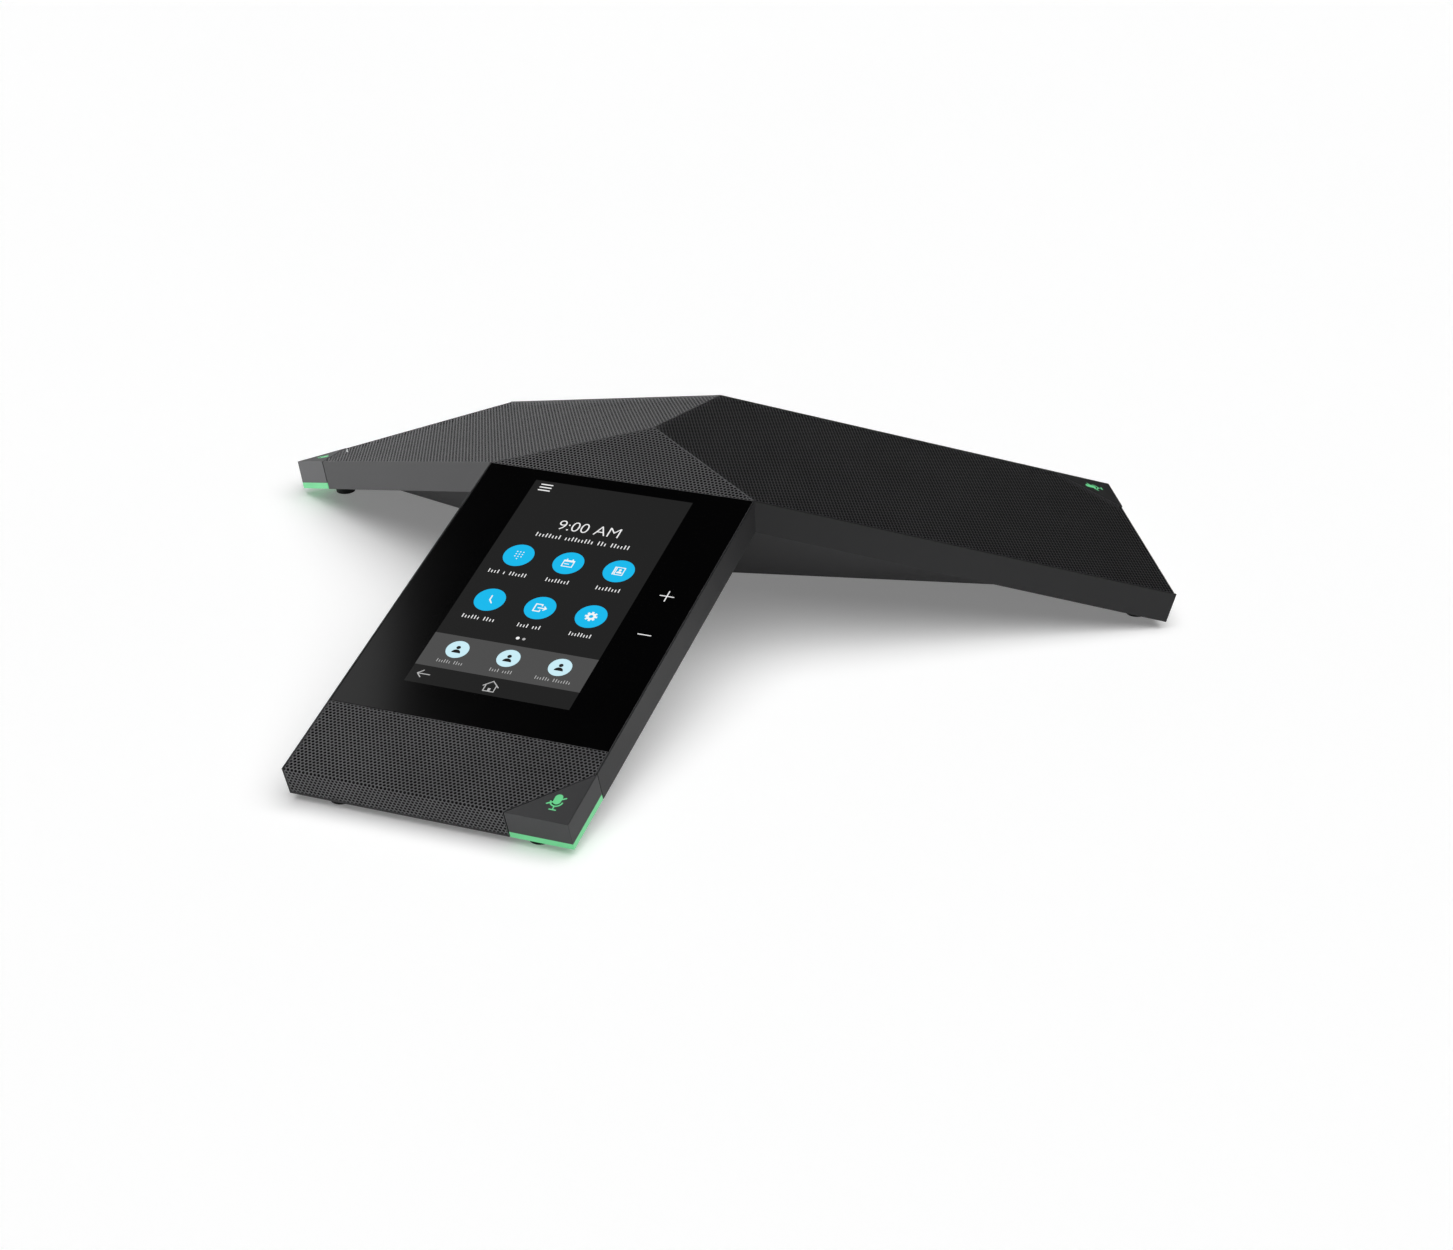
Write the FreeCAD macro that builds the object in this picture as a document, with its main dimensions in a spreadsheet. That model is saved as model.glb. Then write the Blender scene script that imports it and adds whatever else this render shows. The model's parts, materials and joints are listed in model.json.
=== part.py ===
import FreeCAD, Part
import os
import re

import Sketcher

# Three-legged conference phone: three sloping slabs that meet at a raised middle, with a touch
# display on the front leg and a lit mute key on one corner of each leg.
# Millimetres, +Z up, origin on the table in the middle of the plan, front leg along -Y.
# A leg's own frame has its origin at the apex, -Y down the slope and +Z square to the top face.
# The middle frame stands on the table right below the apex.

DRIVING_SIZES = {
    "overall_height": 74.0,
    "tip_reach": 189.8,
    "tip_height": 14.2,
    "leg_width": 108.0,
    "side_depth": 11.8,
    "wall": 2.4,
    "lip": 0.6,
    "end_wall": 2.0,
    "sill": 0.8,
    "ledge_depth": 2.2,
    "cover_gap": 0.15,
    "floor_thickness": 2.0,
    "grille_thickness": 1.6,
    "crease_gap": 0.1,
    "tip_grille_length": 34.5,
    "glass_thickness": 1.1,
    "display_width": 67.0,
    "display_end_margin": 12.6,
    "display_thickness": 3.2,
    "display_inset": 2.0,
    "key_side": 23.5,
    "key_depth": 9.2,
    "key_wall": 1.8,
    "key_top": 1.6,
    "key_gap": 0.35,
    "key_travel": 0.8,
    "key_centre": 6.6,
    "lens_radius": 1.6,
    "lens_depth": 0.6,
    "lens_centre": 8.4,
    "strip_width": 2.6,
    "strip_depth": 2.5,
    "shelf_gap": 0.5,
    "shelf_thickness": 1.5,
    "key_board_side": 6.0,
    "key_board_thickness": 1.0,
    "switch_side": 4.5,
    "switch_depth": 3.2,
    "plunger_radius": 1.0,
    "plunger_length": 2.2,
    "plunger_seat": 1.0,
    "running_gap": 0.05,
    "press_post_radius": 1.6,
    "keel_half": 41.0,
    "keel_drop": 43.0,
    "keel_wall": 2.5,
    "base_height": 14.0,
    "foot_radius": 4.0,
    "foot_root_radius": 5.6,
    "foot_offset": 38.0,
    "foot_margin": 10.8,
    "screw_radius": 1.2,
    "screw_head_radius": 2.4,
    "screw_head": 1.4,
    "screw_length": 6.4,
    "screw_boss_radius": 3.2,
    "screw_inset": 3.0,
    "screw_near": 75.0,
    "screw_tip_margin": 49.0,
    "board_half_width": 45.0,
    "board_start": 46.0,
    "board_length": 104.0,
    "board_thickness": 1.6,
    "board_lift": 1.4,
    "board_post_radius": 2.8,
    "board_post_offset": 42.0,
    "board_post_margin": 5.0,
    "shield_width": 28.0,
    "shield_length": 30.0,
    "shield_depth": 1.8,
    "plate_drop": 24.0,
    "plate_thickness": 2.0,
    "plate_radius": 34.0,
    "driver_radius": 33.0,
    "driver_flange": 1.4,
    "cone_radius": 21.4,
    "surround_width": 4.0,
    "basket_depth": 9.0,
    "basket_wall": 1.2,
    "magnet_radius": 14.5,
    "magnet_depth": 6.0,
    "coil_radius": 8.8,
    "coil_wall": 0.6,
    "coil_gap": 0.6,
    "coil_clearance": 0.2,
    "neck_drop": 5.4,
    "coil_dip": 2.4,
    "cone_travel": 1.5,
    "driver_boss_reach": 29.8,
    "driver_boss_radius": 3.4,
    "bay_width": 50.0,
    "bay_reach": 44.0,
    "bay_start": 14.0,
    "bay_rise": 3.0,
    "bay_drop": 22.0,
    "bay_wall": 2.0,
    "port_board_half": 21.0,
    "port_board_gap": 0.85,
    "port_board_lift": 2.0,
    "port_post_radius": 2.5,
    "port_gap": 0.2,
    "ethernet_width": 16.0,
    "ethernet_height": 13.8,
    "ethernet_depth": 21.0,
    "ethernet_socket_width": 11.8,
    "ethernet_socket_height": 8.4,
    "ethernet_socket_depth": 14.0,
    "usb_width": 14.6,
    "usb_height": 7.2,
    "usb_depth": 16.0,
    "usb_socket_width": 12.4,
    "usb_socket_height": 5.0,
    "usb_socket_depth": 12.0,
    "audio_width": 7.0,
    "audio_depth": 15.0,
    "audio_bore_radius": 1.8,
    "audio_bore_depth": 13.0,
    "port_spacing": 1.6,
    "lock_slot_width": 7.0,
    "lock_slot_height": 3.0,
    "lock_plate_margin": 4.0,
    "lock_plate_thickness": 1.5,
    "lock_drop": 10.0,
    "mic_offset": 20.0,
    "mic_radius": 2.0,
    "mic_length": 2.6,
    "mic_boot_side": 6.4,
    "mic_boot_depth": 4.0,
    "mic_port_radius": 0.8,
    "mic_drop": 6.0,
}

# Sizes that follow from the driving ones, in an order where each uses only those above it.
DERIVED_SIZES = {
    "slope": "atan((overall_height - tip_height) / tip_reach)",
    "leg_half": "leg_width / 2",
    "leg_length": "tip_reach / cos(slope)",
    "root_line": "leg_half * tan(30) / cos(slope)",
    "apex_shift": "(tip_reach - tip_reach * cos(60) - leg_half * sin(60)) / 2",
    "cover_half": "leg_half - lip - cover_gap",
    "cavity_half": "leg_half - wall",
    "end_plane": "leg_length - grille_thickness - cover_gap",
    "cavity_end": "end_plane - end_wall",
    "floor_top": "side_depth - floor_thickness",
    "cut_side": "key_side + key_gap * sqrt(2)",
    "guard_side": "cut_side + wall * sqrt(2)",
    "glass_start": "root_line + cover_gap",
    "glass_end": "leg_length - tip_grille_length",
    "display_length": "glass_end - glass_start - display_inset - display_end_margin",
    "screw_far": "leg_length - screw_tip_margin",
    "foot_reach": "tip_reach - foot_margin",
    "keel_inner_half": "keel_half - keel_wall",
    "keel_inner_drop": "keel_drop * keel_inner_half / keel_half",
    "board_bottom": "floor_top - board_lift",
    "board_top": "board_bottom - board_thickness",
    "shelf_top": "side_depth - shelf_thickness",
    "switch_bottom": "shelf_top - key_board_thickness",
    "switch_top": "switch_bottom - switch_depth",
    "plunger_bottom": "switch_top + plunger_seat",
    "plunger_top": "plunger_bottom - plunger_length",
    "plate_height": "overall_height - plate_drop",
    "driver_seat": "plate_height + plate_thickness",
    "rim_radius": "cone_radius + surround_width",
    "basket_base": "driver_seat - basket_depth",
    "magnet_base": "basket_base - magnet_depth",
    "bay_half": "bay_width / 2",
    "port_board_depth": "bay_reach - bay_start - 2 * bay_wall - cover_gap - port_board_gap",
    "bay_floor": "base_height + bay_rise",
    "bay_roof": "overall_height - bay_drop",
    "lock_height": "bay_roof - lock_drop",
    "port_board_bottom": "bay_floor + bay_wall + port_board_lift",
    "port_board_top": "port_board_bottom + board_thickness",
    "ethernet_left": "0 - port_board_half",
    "usb_left": "ethernet_left + ethernet_width + port_spacing",
    "audio_left": "usb_left + usb_width + port_spacing",
}

FAR = 400
LEG_TURNS = {"front": 0, "right": 120, "left": 240}

doc = FreeCAD.newDocument("conference_phone")
sizes = doc.addObject("Spreadsheet::Sheet", "Sizes")
for row, (alias, value) in enumerate(DRIVING_SIZES.items(), start=1):
    sizes.set(f"A{row}", alias)
    sizes.set(f"B{row}", str(value))
    sizes.setAlias(f"B{row}", alias)
doc.recompute()
derived = doc.addObject("App::VarSet", "Derived")


def formula(text):
    """Text with every size name pointed at the object that holds it."""

    def holder(match):
        word = match.group(0)
        if word in DRIVING_SIZES:
            return "Sizes." + word
        if word in DERIVED_SIZES or word.endswith(("_frame", "_yaw")):
            return "Derived." + word
        return word

    return re.sub(r"\b[a-z_]+\b", holder, str(text))


for name, text in DERIVED_SIZES.items():
    derived.addProperty("App::PropertyFloat", name)
    unit = " / 1 deg" if text.startswith("atan") else ""
    derived.setExpression(name, formula(text) + unit)


def spot(x=0, y=0, z=0, axis=(0, 0, 1), angle=0):
    """Expression for a placement at x, y, z, turned about an axis."""
    direction = "; ".join(str(a) for a in axis)
    return (
        f"create(<<placement>>; create(<<vector>>; {formula(x)}; {formula(y)}; {formula(z)}); "
        f"create(<<rotation>>; create(<<vector>>; {direction}); {formula(angle)}))"
    )


derived.addProperty("App::PropertyPlacement", "middle_frame")
derived.setExpression("middle_frame", spot(y="apex_shift"))
for leg, turn in LEG_TURNS.items():
    yaw_spot = spot(y="apex_shift", angle=turn)
    slope_spot = spot(z="overall_height", axis=(1, 0, 0), angle="slope")
    derived.addProperty("App::PropertyPlacement", leg + "_yaw")
    derived.setExpression(leg + "_yaw", yaw_spot)
    derived.addProperty("App::PropertyPlacement", leg + "_frame")
    derived.setExpression(leg + "_frame", f"{yaw_spot} * {slope_spot}")
doc.recompute()


def placed(thing, frame, **where):
    """Puts a thing at a spot of a named frame."""
    thing.setExpression("Placement", f"Derived.{frame} * {spot(**where)}")
    return thing


def bound(kind, frame, settings, **where):
    """A primitive whose settings are expressions."""
    thing = doc.addObject(kind, "Solid")
    for name, text in settings.items():
        thing.setExpression(name, formula(text))
    return placed(thing, frame, **where)


def box(frame, x, y, z):
    """Box between pairs of expressions along each axis of a frame."""
    lengths = {
        name: f"({high}) - ({low})"
        for name, (low, high) in zip(("Length", "Width", "Height"), (x, y, z))
    }
    return bound("Part::Box", frame, lengths, x=x[0], y=y[0], z=z[0])


def cylinder(frame, radius, x, y, z):
    """Upright cylinder at x, y, from the first to the second of z."""
    settings = {"Radius": radius, "Height": f"({z[1]}) - ({z[0]})"}
    return bound("Part::Cylinder", frame, settings, x=x, y=y, z=z[0])


def lying(frame, radius, x, y, z, length):
    """Cylinder that lies along a frame's -Y, from a point."""
    settings = {"Radius": radius, "Height": length}
    return bound("Part::Cylinder", frame, settings, x=x, y=y, z=z, axis=(1, 0, 0), angle=90)


def joined(kind, things):
    """Fuse or common of several things."""
    result = doc.addObject(kind, "Solid")
    result.Shapes = things
    return result


def fuse(*things):
    return joined("Part::MultiFuse", list(things))


def common(*things):
    return joined("Part::MultiCommon", list(things))


def cut(base, *tools):
    """Base with every tool taken out of it."""
    result = doc.addObject("Part::Cut", "Solid")
    result.Base = base
    result.Tool = tools[0] if len(tools) == 1 else fuse(*tools)
    return result


def outline_sketch(body, role, points):
    """Closed polygon on an origin plane, each corner held by two bound distances."""
    sketch = body.newObject("Sketcher::SketchObject", "Outline")
    plane = [f for f in body.Origin.OriginFeatures if f.Role == role][0]
    sketch.AttachmentSupport = [(plane, "")]
    sketch.MapMode = "FlatFace"
    corners = []
    for pair in points:
        values = []
        for text in pair:
            probe.setExpression("value", formula(text))
            probe.recompute()
            values.append(probe.value)
        corners.append(FreeCAD.Vector(*values, 0))
    count = len(corners)
    for i in range(count):
        sketch.addGeometry(Part.LineSegment(corners[i], corners[(i + 1) % count]))
    for i in range(count):
        sketch.addConstraint(Sketcher.Constraint("Coincident", i, 2, (i + 1) % count, 1))
    for i, pair in enumerate(points):
        for kind, text, value in zip(("DistanceX", "DistanceY"), pair, corners[i]):
            held = sketch.addConstraint(Sketcher.Constraint(kind, -1, 1, i, 1, value))
            sketch.setExpression(f"Constraints[{held}]", formula(text))
    return sketch


probe = doc.addObject("App::VarSet", "Probe")
probe.addProperty("App::PropertyFloat", "value")


def prism(frame, points, z):
    """Polygon in a frame's XY plane, padded between two heights."""
    body = doc.addObject("PartDesign::Body", "Prism")
    pad = body.newObject("PartDesign::Pad", "Pad")
    pad.Profile = outline_sketch(body, "XY_Plane", points)
    pad.setExpression("Length", formula(f"({z[1]}) - ({z[0]})"))
    body.Tip = pad
    return placed(body, frame, z=z[0])


def trough(frame, points, y):
    """Polygon in a frame's XZ plane, padded along the leg between two stations."""
    body = doc.addObject("PartDesign::Body", "Trough")
    pad = body.newObject("PartDesign::Pad", "Pad")
    pad.Profile = outline_sketch(body, "XZ_Plane", points)
    pad.setExpression("Length", formula(f"({y[1]}) - ({y[0]})"))
    body.Tip = pad
    return placed(body, frame, y=y[1])


def turned(points):
    """Half section of radius and height pairs, turned about the upright axis through the apex."""
    body = doc.addObject("PartDesign::Body", "Turned")
    turn = body.newObject("PartDesign::Revolution", "Turn")
    sketch = outline_sketch(body, "XZ_Plane", points)
    turn.Profile = sketch
    turn.ReferenceAxis = (sketch, ["V_Axis"])
    turn.Angle = 360
    body.Tip = turn
    return placed(body, "middle_frame")


def each_leg(maker):
    """What a maker gives for each leg, as a list."""
    return [maker(leg + "_frame", leg + "_yaw") for leg in LEG_TURNS]


def under_roof(depth):
    """Everything at least a depth below all three sloping tops."""
    return common(*each_leg(lambda frame, yaw: box(frame, (-FAR, FAR), (-FAR, FAR), (-FAR, f"0 - {depth}"))))


def sector(yaw):
    """The third of the plan that belongs to one leg, up to its two creases."""
    far_side = f"0 - crease_gap - {FAR} * tan(30)"
    points = [("0", "0 - crease_gap"), (-FAR, far_side), (-FAR, -2 * FAR), (FAR, -2 * FAR), (FAR, far_side)]
    return prism(yaw, points, (0, "2 * overall_height"))


def corner(frame, side, over="side_depth"):
    """Triangle at a leg's key corner, cut off by the diagonal, from above the top to below the floor."""
    out = "lip"
    points = [
        (f"leg_half + {out}", f"0 - leg_length - {out}"),
        (f"leg_half + {out}", f"{side} - leg_length + {out}"),
        (f"leg_half - {side} - {out}", f"0 - leg_length - {out}"),
    ]
    return prism(frame, points, (f"0 - 2 * {over}", over))


def screw_spots():
    """The two stations along each side of a leg where the floor is screwed to the walls."""
    reach = "(leg_half - wall - screw_inset)"
    return [(f"{side} * {reach}", f"0 - {station}") for side in (-1, 1) for station in ("screw_near", "screw_far")]


def port_boxes():
    """Width span, height and depth of each rear connector, in the middle frame."""
    return {
        "ethernet_jack": (("ethernet_left", "ethernet_left + ethernet_width"), "ethernet_height", "ethernet_depth"),
        "usb_port": (("usb_left", "usb_left + usb_width"), "usb_height", "usb_depth"),
        "audio_jack": (("audio_left", "audio_left + audio_width"), "audio_width", "audio_depth"),
    }


def lock_slot(y):
    """The cable-lock slot, between two depths."""
    half = "lock_slot_width / 2"
    return box(
        "middle_frame",
        (f"usb_left + usb_width / 2 - {half}", f"usb_left + usb_width / 2 + {half}"),
        y,
        ("lock_height", "lock_height + lock_slot_height"),
    )


def wall_frame():
    """Side and end walls of all three legs, with the step that the covers rest on."""

    def outside(frame, yaw):
        return box(frame, ("0 - leg_half", "leg_half"), ("0 - leg_length", 0), ("0 - side_depth", 0))

    def hollow(frame, yaw):
        opening = box(
            frame,
            ("0 - cavity_half", "cavity_half"),
            ("0 - cavity_end", 0),
            ("0 - 2 * side_depth", "side_depth"),
        )
        return cut(opening, corner(frame, "guard_side", "2 * side_depth"))

    def tray(frame, yaw):
        across = ("0 - leg_half + lip", "leg_half - lip")
        step = box(frame, across, ("0 - leg_length - lip", 0), ("0 - ledge_depth", "side_depth"))
        end_slot = box(
            frame,
            across,
            ("0 - leg_length - lip", "0 - end_plane"),
            ("sill - side_depth", "side_depth"),
        )
        mic_port = lying(frame, "mic_port_radius", "0 - mic_offset", "0 - cavity_end", "0 - mic_drop", "end_wall")
        return fuse(step, end_slot, mic_port)

    def key_shelf(frame, yaw):
        edge = "(strip_width + shelf_gap)"
        reach = "(cut_side + wall / 2)"
        points = [
            (f"leg_half - {edge}", f"{edge} - leg_length"),
            (f"leg_half - {edge}", f"{reach} - {edge} - leg_length"),
            (f"leg_half - {reach} + {edge}", f"{edge} - leg_length"),
        ]
        return prism(frame, points, ("0 - side_depth", "0 - shelf_top"))

    def bosses(frame, yaw):
        posts = [
            cylinder(frame, "screw_boss_radius", x, y, ("0 - floor_top", "0 - ledge_depth")) for x, y in screw_spots()
        ]
        return common(fuse(*posts), box(frame, ("0 - leg_half", "leg_half"), (-FAR, 0), (-FAR, FAR)))

    def pilot_holes(frame, yaw):
        holes = [
            cylinder(
                frame, "screw_radius + running_gap", x, y,
                ("0 - side_depth", "screw_head + screw_length - side_depth + running_gap"),
            )
            for x, y in screw_spots()
        ]
        return fuse(*holes)

    shell = common(fuse(*each_leg(outside)), under_roof("0"))
    shell = cut(shell, *each_leg(hollow))
    shell = fuse(shell, *each_leg(bosses))
    shell = cut(shell, *each_leg(tray), *each_leg(lambda frame, yaw: corner(frame, "cut_side")), *each_leg(pilot_holes))
    return fuse(shell, *each_leg(key_shelf))


def keel(half, drop, low, top):
    """The V-shaped underside of the three legs, cut level at a height."""
    points = [
        (f"0 - {half}", top),
        (half, top),
        (half, "0 - side_depth"),
        ("0", f"0 - side_depth - {drop}"),
        (f"0 - {half}", "0 - side_depth"),
    ]

    def one(frame, yaw):
        vee = trough(frame, points, ("0 - cavity_end + guard_side", FAR))
        return common(vee, box(yaw, (-FAR, FAR), (-FAR, 0), (low, "2 * overall_height")))

    return fuse(*each_leg(one))


def bottom_cover():
    """Floor of the legs with the keel, the rear connector bay and the posts that carry the inside."""

    def floor(frame, yaw):
        half = "(cavity_half - cover_gap)"
        plate = box(
            frame,
            (f"0 - {half}", half),
            ("cover_gap - cavity_end", 0),
            ("0 - side_depth", "0 - floor_top"),
        )
        return cut(plate, corner(frame, "(guard_side + cover_gap * 2)"))

    def screw_holes(frame, yaw):
        holes = []
        for x, y in screw_spots():
            holes.append(cylinder(frame, "screw_radius + running_gap", x, y, ("0 - 2 * side_depth", 0)))
            head = ("0 - 2 * side_depth", "screw_head - side_depth")
            holes.append(cylinder(frame, "screw_head_radius + running_gap", x, y, head))
        return fuse(*holes)

    def driver_post(frame, yaw):
        return cylinder(yaw, "driver_boss_radius", 0, "0 - driver_boss_reach", ("base_height", "plate_height"))

    def driver_hole(frame, yaw):
        high = ("plate_height - screw_length", "plate_height")
        return cylinder(yaw, "screw_radius + running_gap", 0, "0 - driver_boss_reach", high)

    outer = common(
        fuse(*each_leg(floor), keel("keel_half", "keel_drop", "base_height", "0 - floor_top")),
        under_roof("(ledge_depth + cover_gap)"),
    )
    inner = keel("keel_inner_half", "keel_inner_drop", "base_height + floor_thickness", "side_depth")
    bay = box("middle_frame", ("0 - bay_half", "bay_half"), ("bay_start", "bay_reach"), ("bay_floor", "bay_roof"))
    bay = common(bay, under_roof("side_depth"))
    bay_room = box(
        "middle_frame",
        ("bay_wall - bay_half", "bay_half - bay_wall"),
        ("bay_start + bay_wall", "bay_reach - bay_wall"),
        ("bay_floor + bay_wall", "bay_roof - bay_wall"),
    )
    windows = []
    for span, height, depth in port_boxes().values():
        windows.append(
            box(
                "middle_frame",
                (f"{span[0]} - port_gap", f"{span[1]} + port_gap"),
                ("bay_reach - 2 * bay_wall", "bay_reach + bay_wall"),
                ("port_board_top - port_gap", f"port_board_top + {height} + port_gap"),
            )
        )
    windows.append(lock_slot(("bay_reach - 2 * bay_wall", "bay_reach + bay_wall")))
    bulk = fuse(outer, bay)
    floor_posts = [
        cylinder("middle_frame", "port_post_radius", x, y, ("base_height", "port_board_bottom"))
        for x, y in port_post_spots()
    ]
    floor_posts = common(fuse(*floor_posts, *each_leg(driver_post)), bulk)
    board_posts = [
        cylinder("front_frame", "board_post_radius", x, y, ("0 - floor_top - floor_thickness / 2", "0 - board_bottom"))
        for x, y in board_post_spots()
    ]
    pilots = [
        cylinder("middle_frame", "screw_radius + running_gap", x, y, ("bay_floor + bay_wall", "port_board_bottom"))
        for x, y in port_post_spots()
    ]
    pilots += [
        cylinder("front_frame", "screw_radius + running_gap", x, y, ("0 - floor_top", "0 - board_bottom"))
        for x, y in board_post_spots()
    ]
    shell = cut(bulk, inner, bay_room, *windows)
    shell = fuse(shell, floor_posts, *board_posts)
    return cut(shell, *pilots, *each_leg(driver_hole), *each_leg(screw_holes))


def port_post_spots():
    """Posts under the connector board's four corners."""
    reach = "(port_board_half - port_post_radius)"
    near = "bay_reach - bay_wall - cover_gap - port_board_depth + port_post_radius"
    return [(f"{side} * {reach}", near) for side in (-1, 1)]


def board_post_spots():
    """Posts under the main board's four corners, in the front leg's frame."""
    ends = ("0 - board_start - board_post_margin", "board_post_margin - board_start - board_length")
    return [(f"{side} * board_post_offset", y) for side in (-1, 1) for y in ends]


def grille_panel(frame, yaw, start, depth, thickness, wrap):
    """A leg's top skin from a station to its tip, at a depth, with an end flap where it wraps over."""
    across = ("0 - cover_half", "cover_half")
    end = "leg_length" if wrap else "end_plane"
    top = box(frame, across, (f"0 - {end}", start), (f"0 - {depth} - {thickness}", f"0 - {depth}"))
    parts = [top]
    if wrap:
        flap_depth = ("sill + cover_gap - side_depth", 0)
        parts.append(box(frame, across, ("0 - leg_length", f"{thickness} - leg_length"), flap_depth))
    panel = common(fuse(*parts) if wrap else top, sector(yaw))
    return cut(panel, corner(frame, "cut_side"))


def plain_panel(across, y, z):
    """A plate on the front leg, trimmed to that leg's share of the plan."""
    return common(box("front_frame", across, y, z), sector("front_yaw"))


def mute_key(frame):
    """Hollow corner cap with a post that bears on the switch and a seat for the lens."""
    points = [
        ("leg_half", "0 - leg_length"),
        ("leg_half", "key_side - leg_length"),
        ("leg_half - key_side", "0 - leg_length"),
    ]
    inner_side = "(key_side - key_wall * (1 + sqrt(2)))"
    inner = [
        ("leg_half - key_wall", "key_wall - leg_length"),
        ("leg_half - key_wall", f"{inner_side} - leg_length"),
        (f"leg_half - {inner_side}", "key_wall - leg_length"),
    ]
    solid = prism(frame, points, ("0 - key_depth", 0))
    room = prism(frame, inner, ("0 - 2 * key_depth", "0 - key_top"))
    post = cylinder(frame, "press_post_radius", *key_spot("key_centre"), ("0 - plunger_top", "0 - key_top"))
    seat = cylinder(frame, "lens_radius", *key_spot("lens_centre"), ("0 - lens_depth", "lens_depth"))
    return cut(fuse(cut(solid, room), post), seat)


def key_spot(inset):
    """A point inside the key corner, the same distance from both outer faces."""
    return f"leg_half - {inset}", f"{inset} - leg_length"


def light_strip(frame):
    """L-shaped light guide under the two outer faces of a key."""
    points = [
        ("leg_half", "0 - leg_length"),
        ("leg_half", "key_side - leg_length"),
        ("leg_half - strip_width", "key_side - strip_width - leg_length"),
        ("leg_half - strip_width", "strip_width - leg_length"),
        ("leg_half - key_side + strip_width", "strip_width - leg_length"),
        ("leg_half - key_side", "0 - leg_length"),
    ]
    return prism(frame, points, ("0 - key_depth - strip_depth", "0 - key_depth"))


def square_block(frame, side, z):
    """Square block on the key's switch axis."""
    near, far = f"(key_centre - {side} / 2)", f"(key_centre + {side} / 2)"
    return box(frame, (f"leg_half - {far}", f"leg_half - {near}"), (f"{near} - leg_length", f"{far} - leg_length"), z)


def feet(frame, yaw):
    """The two rubber feet near a leg's tip, trimmed to the sloping floor."""
    cones = [
        bound(
            "Part::Cone", yaw,
            {"Radius1": "foot_radius", "Radius2": "foot_root_radius", "Height": "side_depth"},
            x=f"{side} * foot_offset", y="0 - foot_reach",
        )
        for side in (-1, 1)
    ]
    return common(fuse(*cones), box(frame, (-FAR, FAR), (-FAR, FAR), (-FAR, "0 - side_depth")))


def screws(frame, spots, head_z, shaft_z):
    """Cap-headed screws at several spots of a frame, as separate solids of one group."""
    made = []
    for x, y in spots:
        head = cylinder(frame, "screw_head_radius", x, y, head_z)
        shaft = cylinder(frame, "screw_radius", x, y, shaft_z)
        made.append(fuse(head, shaft))
    return made


def group(things):
    """Several separate solids under one label."""
    result = doc.addObject("Part::Compound", "Group")
    result.Links = things
    return result


def loudspeaker():
    """Driver pieces turned about the vertical axis under the apex."""
    seat = "driver_seat"
    basket = turned([
        ("driver_radius", seat),
        ("driver_radius", f"{seat} + driver_flange"),
        ("rim_radius", f"{seat} + driver_flange"),
        ("rim_radius", seat),
        ("magnet_radius - basket_wall", "basket_base + basket_wall"),
        ("coil_radius + coil_clearance", "basket_base + basket_wall"),
        ("coil_radius + coil_clearance", "basket_base"),
        ("magnet_radius - basket_wall / 2", "basket_base"),
        ("rim_radius + basket_wall", f"{seat} - basket_wall"),
        ("rim_radius + basket_wall", seat),
    ])
    gap_floor = "(basket_base - coil_dip - cone_travel - coil_gap)"
    magnet = turned([
        ("0", "magnet_base"),
        ("magnet_radius", "magnet_base"),
        ("magnet_radius", "basket_base"),
        ("coil_radius + coil_gap", "basket_base"),
        ("coil_radius + coil_gap", gap_floor),
        ("coil_radius - coil_wall - coil_gap", gap_floor),
        ("coil_radius - coil_wall - coil_gap", "basket_base"),
        ("0", "basket_base"),
    ])
    neck = f"({seat} - neck_drop)"
    coil_low = "(basket_base - coil_dip)"
    cone = turned([
        ("0", neck),
        ("0", f"{neck} - coil_wall"),
        ("coil_radius - coil_wall", f"{neck} - coil_wall"),
        ("coil_radius - coil_wall", coil_low),
        ("coil_radius", coil_low),
        ("coil_radius", f"{neck} - coil_wall"),
        ("cone_radius", f"{seat} - coil_wall"),
        ("cone_radius", seat),
        ("coil_radius", neck),
    ])
    crest = "(cone_radius + surround_width / 2)"
    surround = turned([
        ("cone_radius", f"{seat} - coil_wall"),
        ("cone_radius", seat),
        (crest, f"{seat} + surround_width / 2"),
        ("rim_radius", f"{seat} + coil_wall"),
        ("rim_radius", seat),
        (crest, f"{seat} + surround_width / 2 - coil_wall"),
    ])
    holes = each_leg(
        lambda frame, yaw: cylinder(
            yaw, "screw_radius + running_gap", 0, "0 - driver_boss_reach",
            ("plate_height - plate_thickness", f"{seat} + 2 * driver_flange"),
        )
    )
    disc = cylinder("middle_frame", "plate_radius", 0, 0, ("plate_height", seat))
    throat = cylinder(
        "middle_frame", "rim_radius + basket_wall + port_gap", 0, 0, ("plate_height - plate_thickness", f"{seat} + plate_thickness"),
    )
    return {
        "speaker_plate": cut(disc, throat, *holes),
        "speaker_basket": cut(basket, *holes),
        "speaker_magnet": magnet,
        "speaker_cone": cone,
        "speaker_surround": surround,
    }


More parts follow.
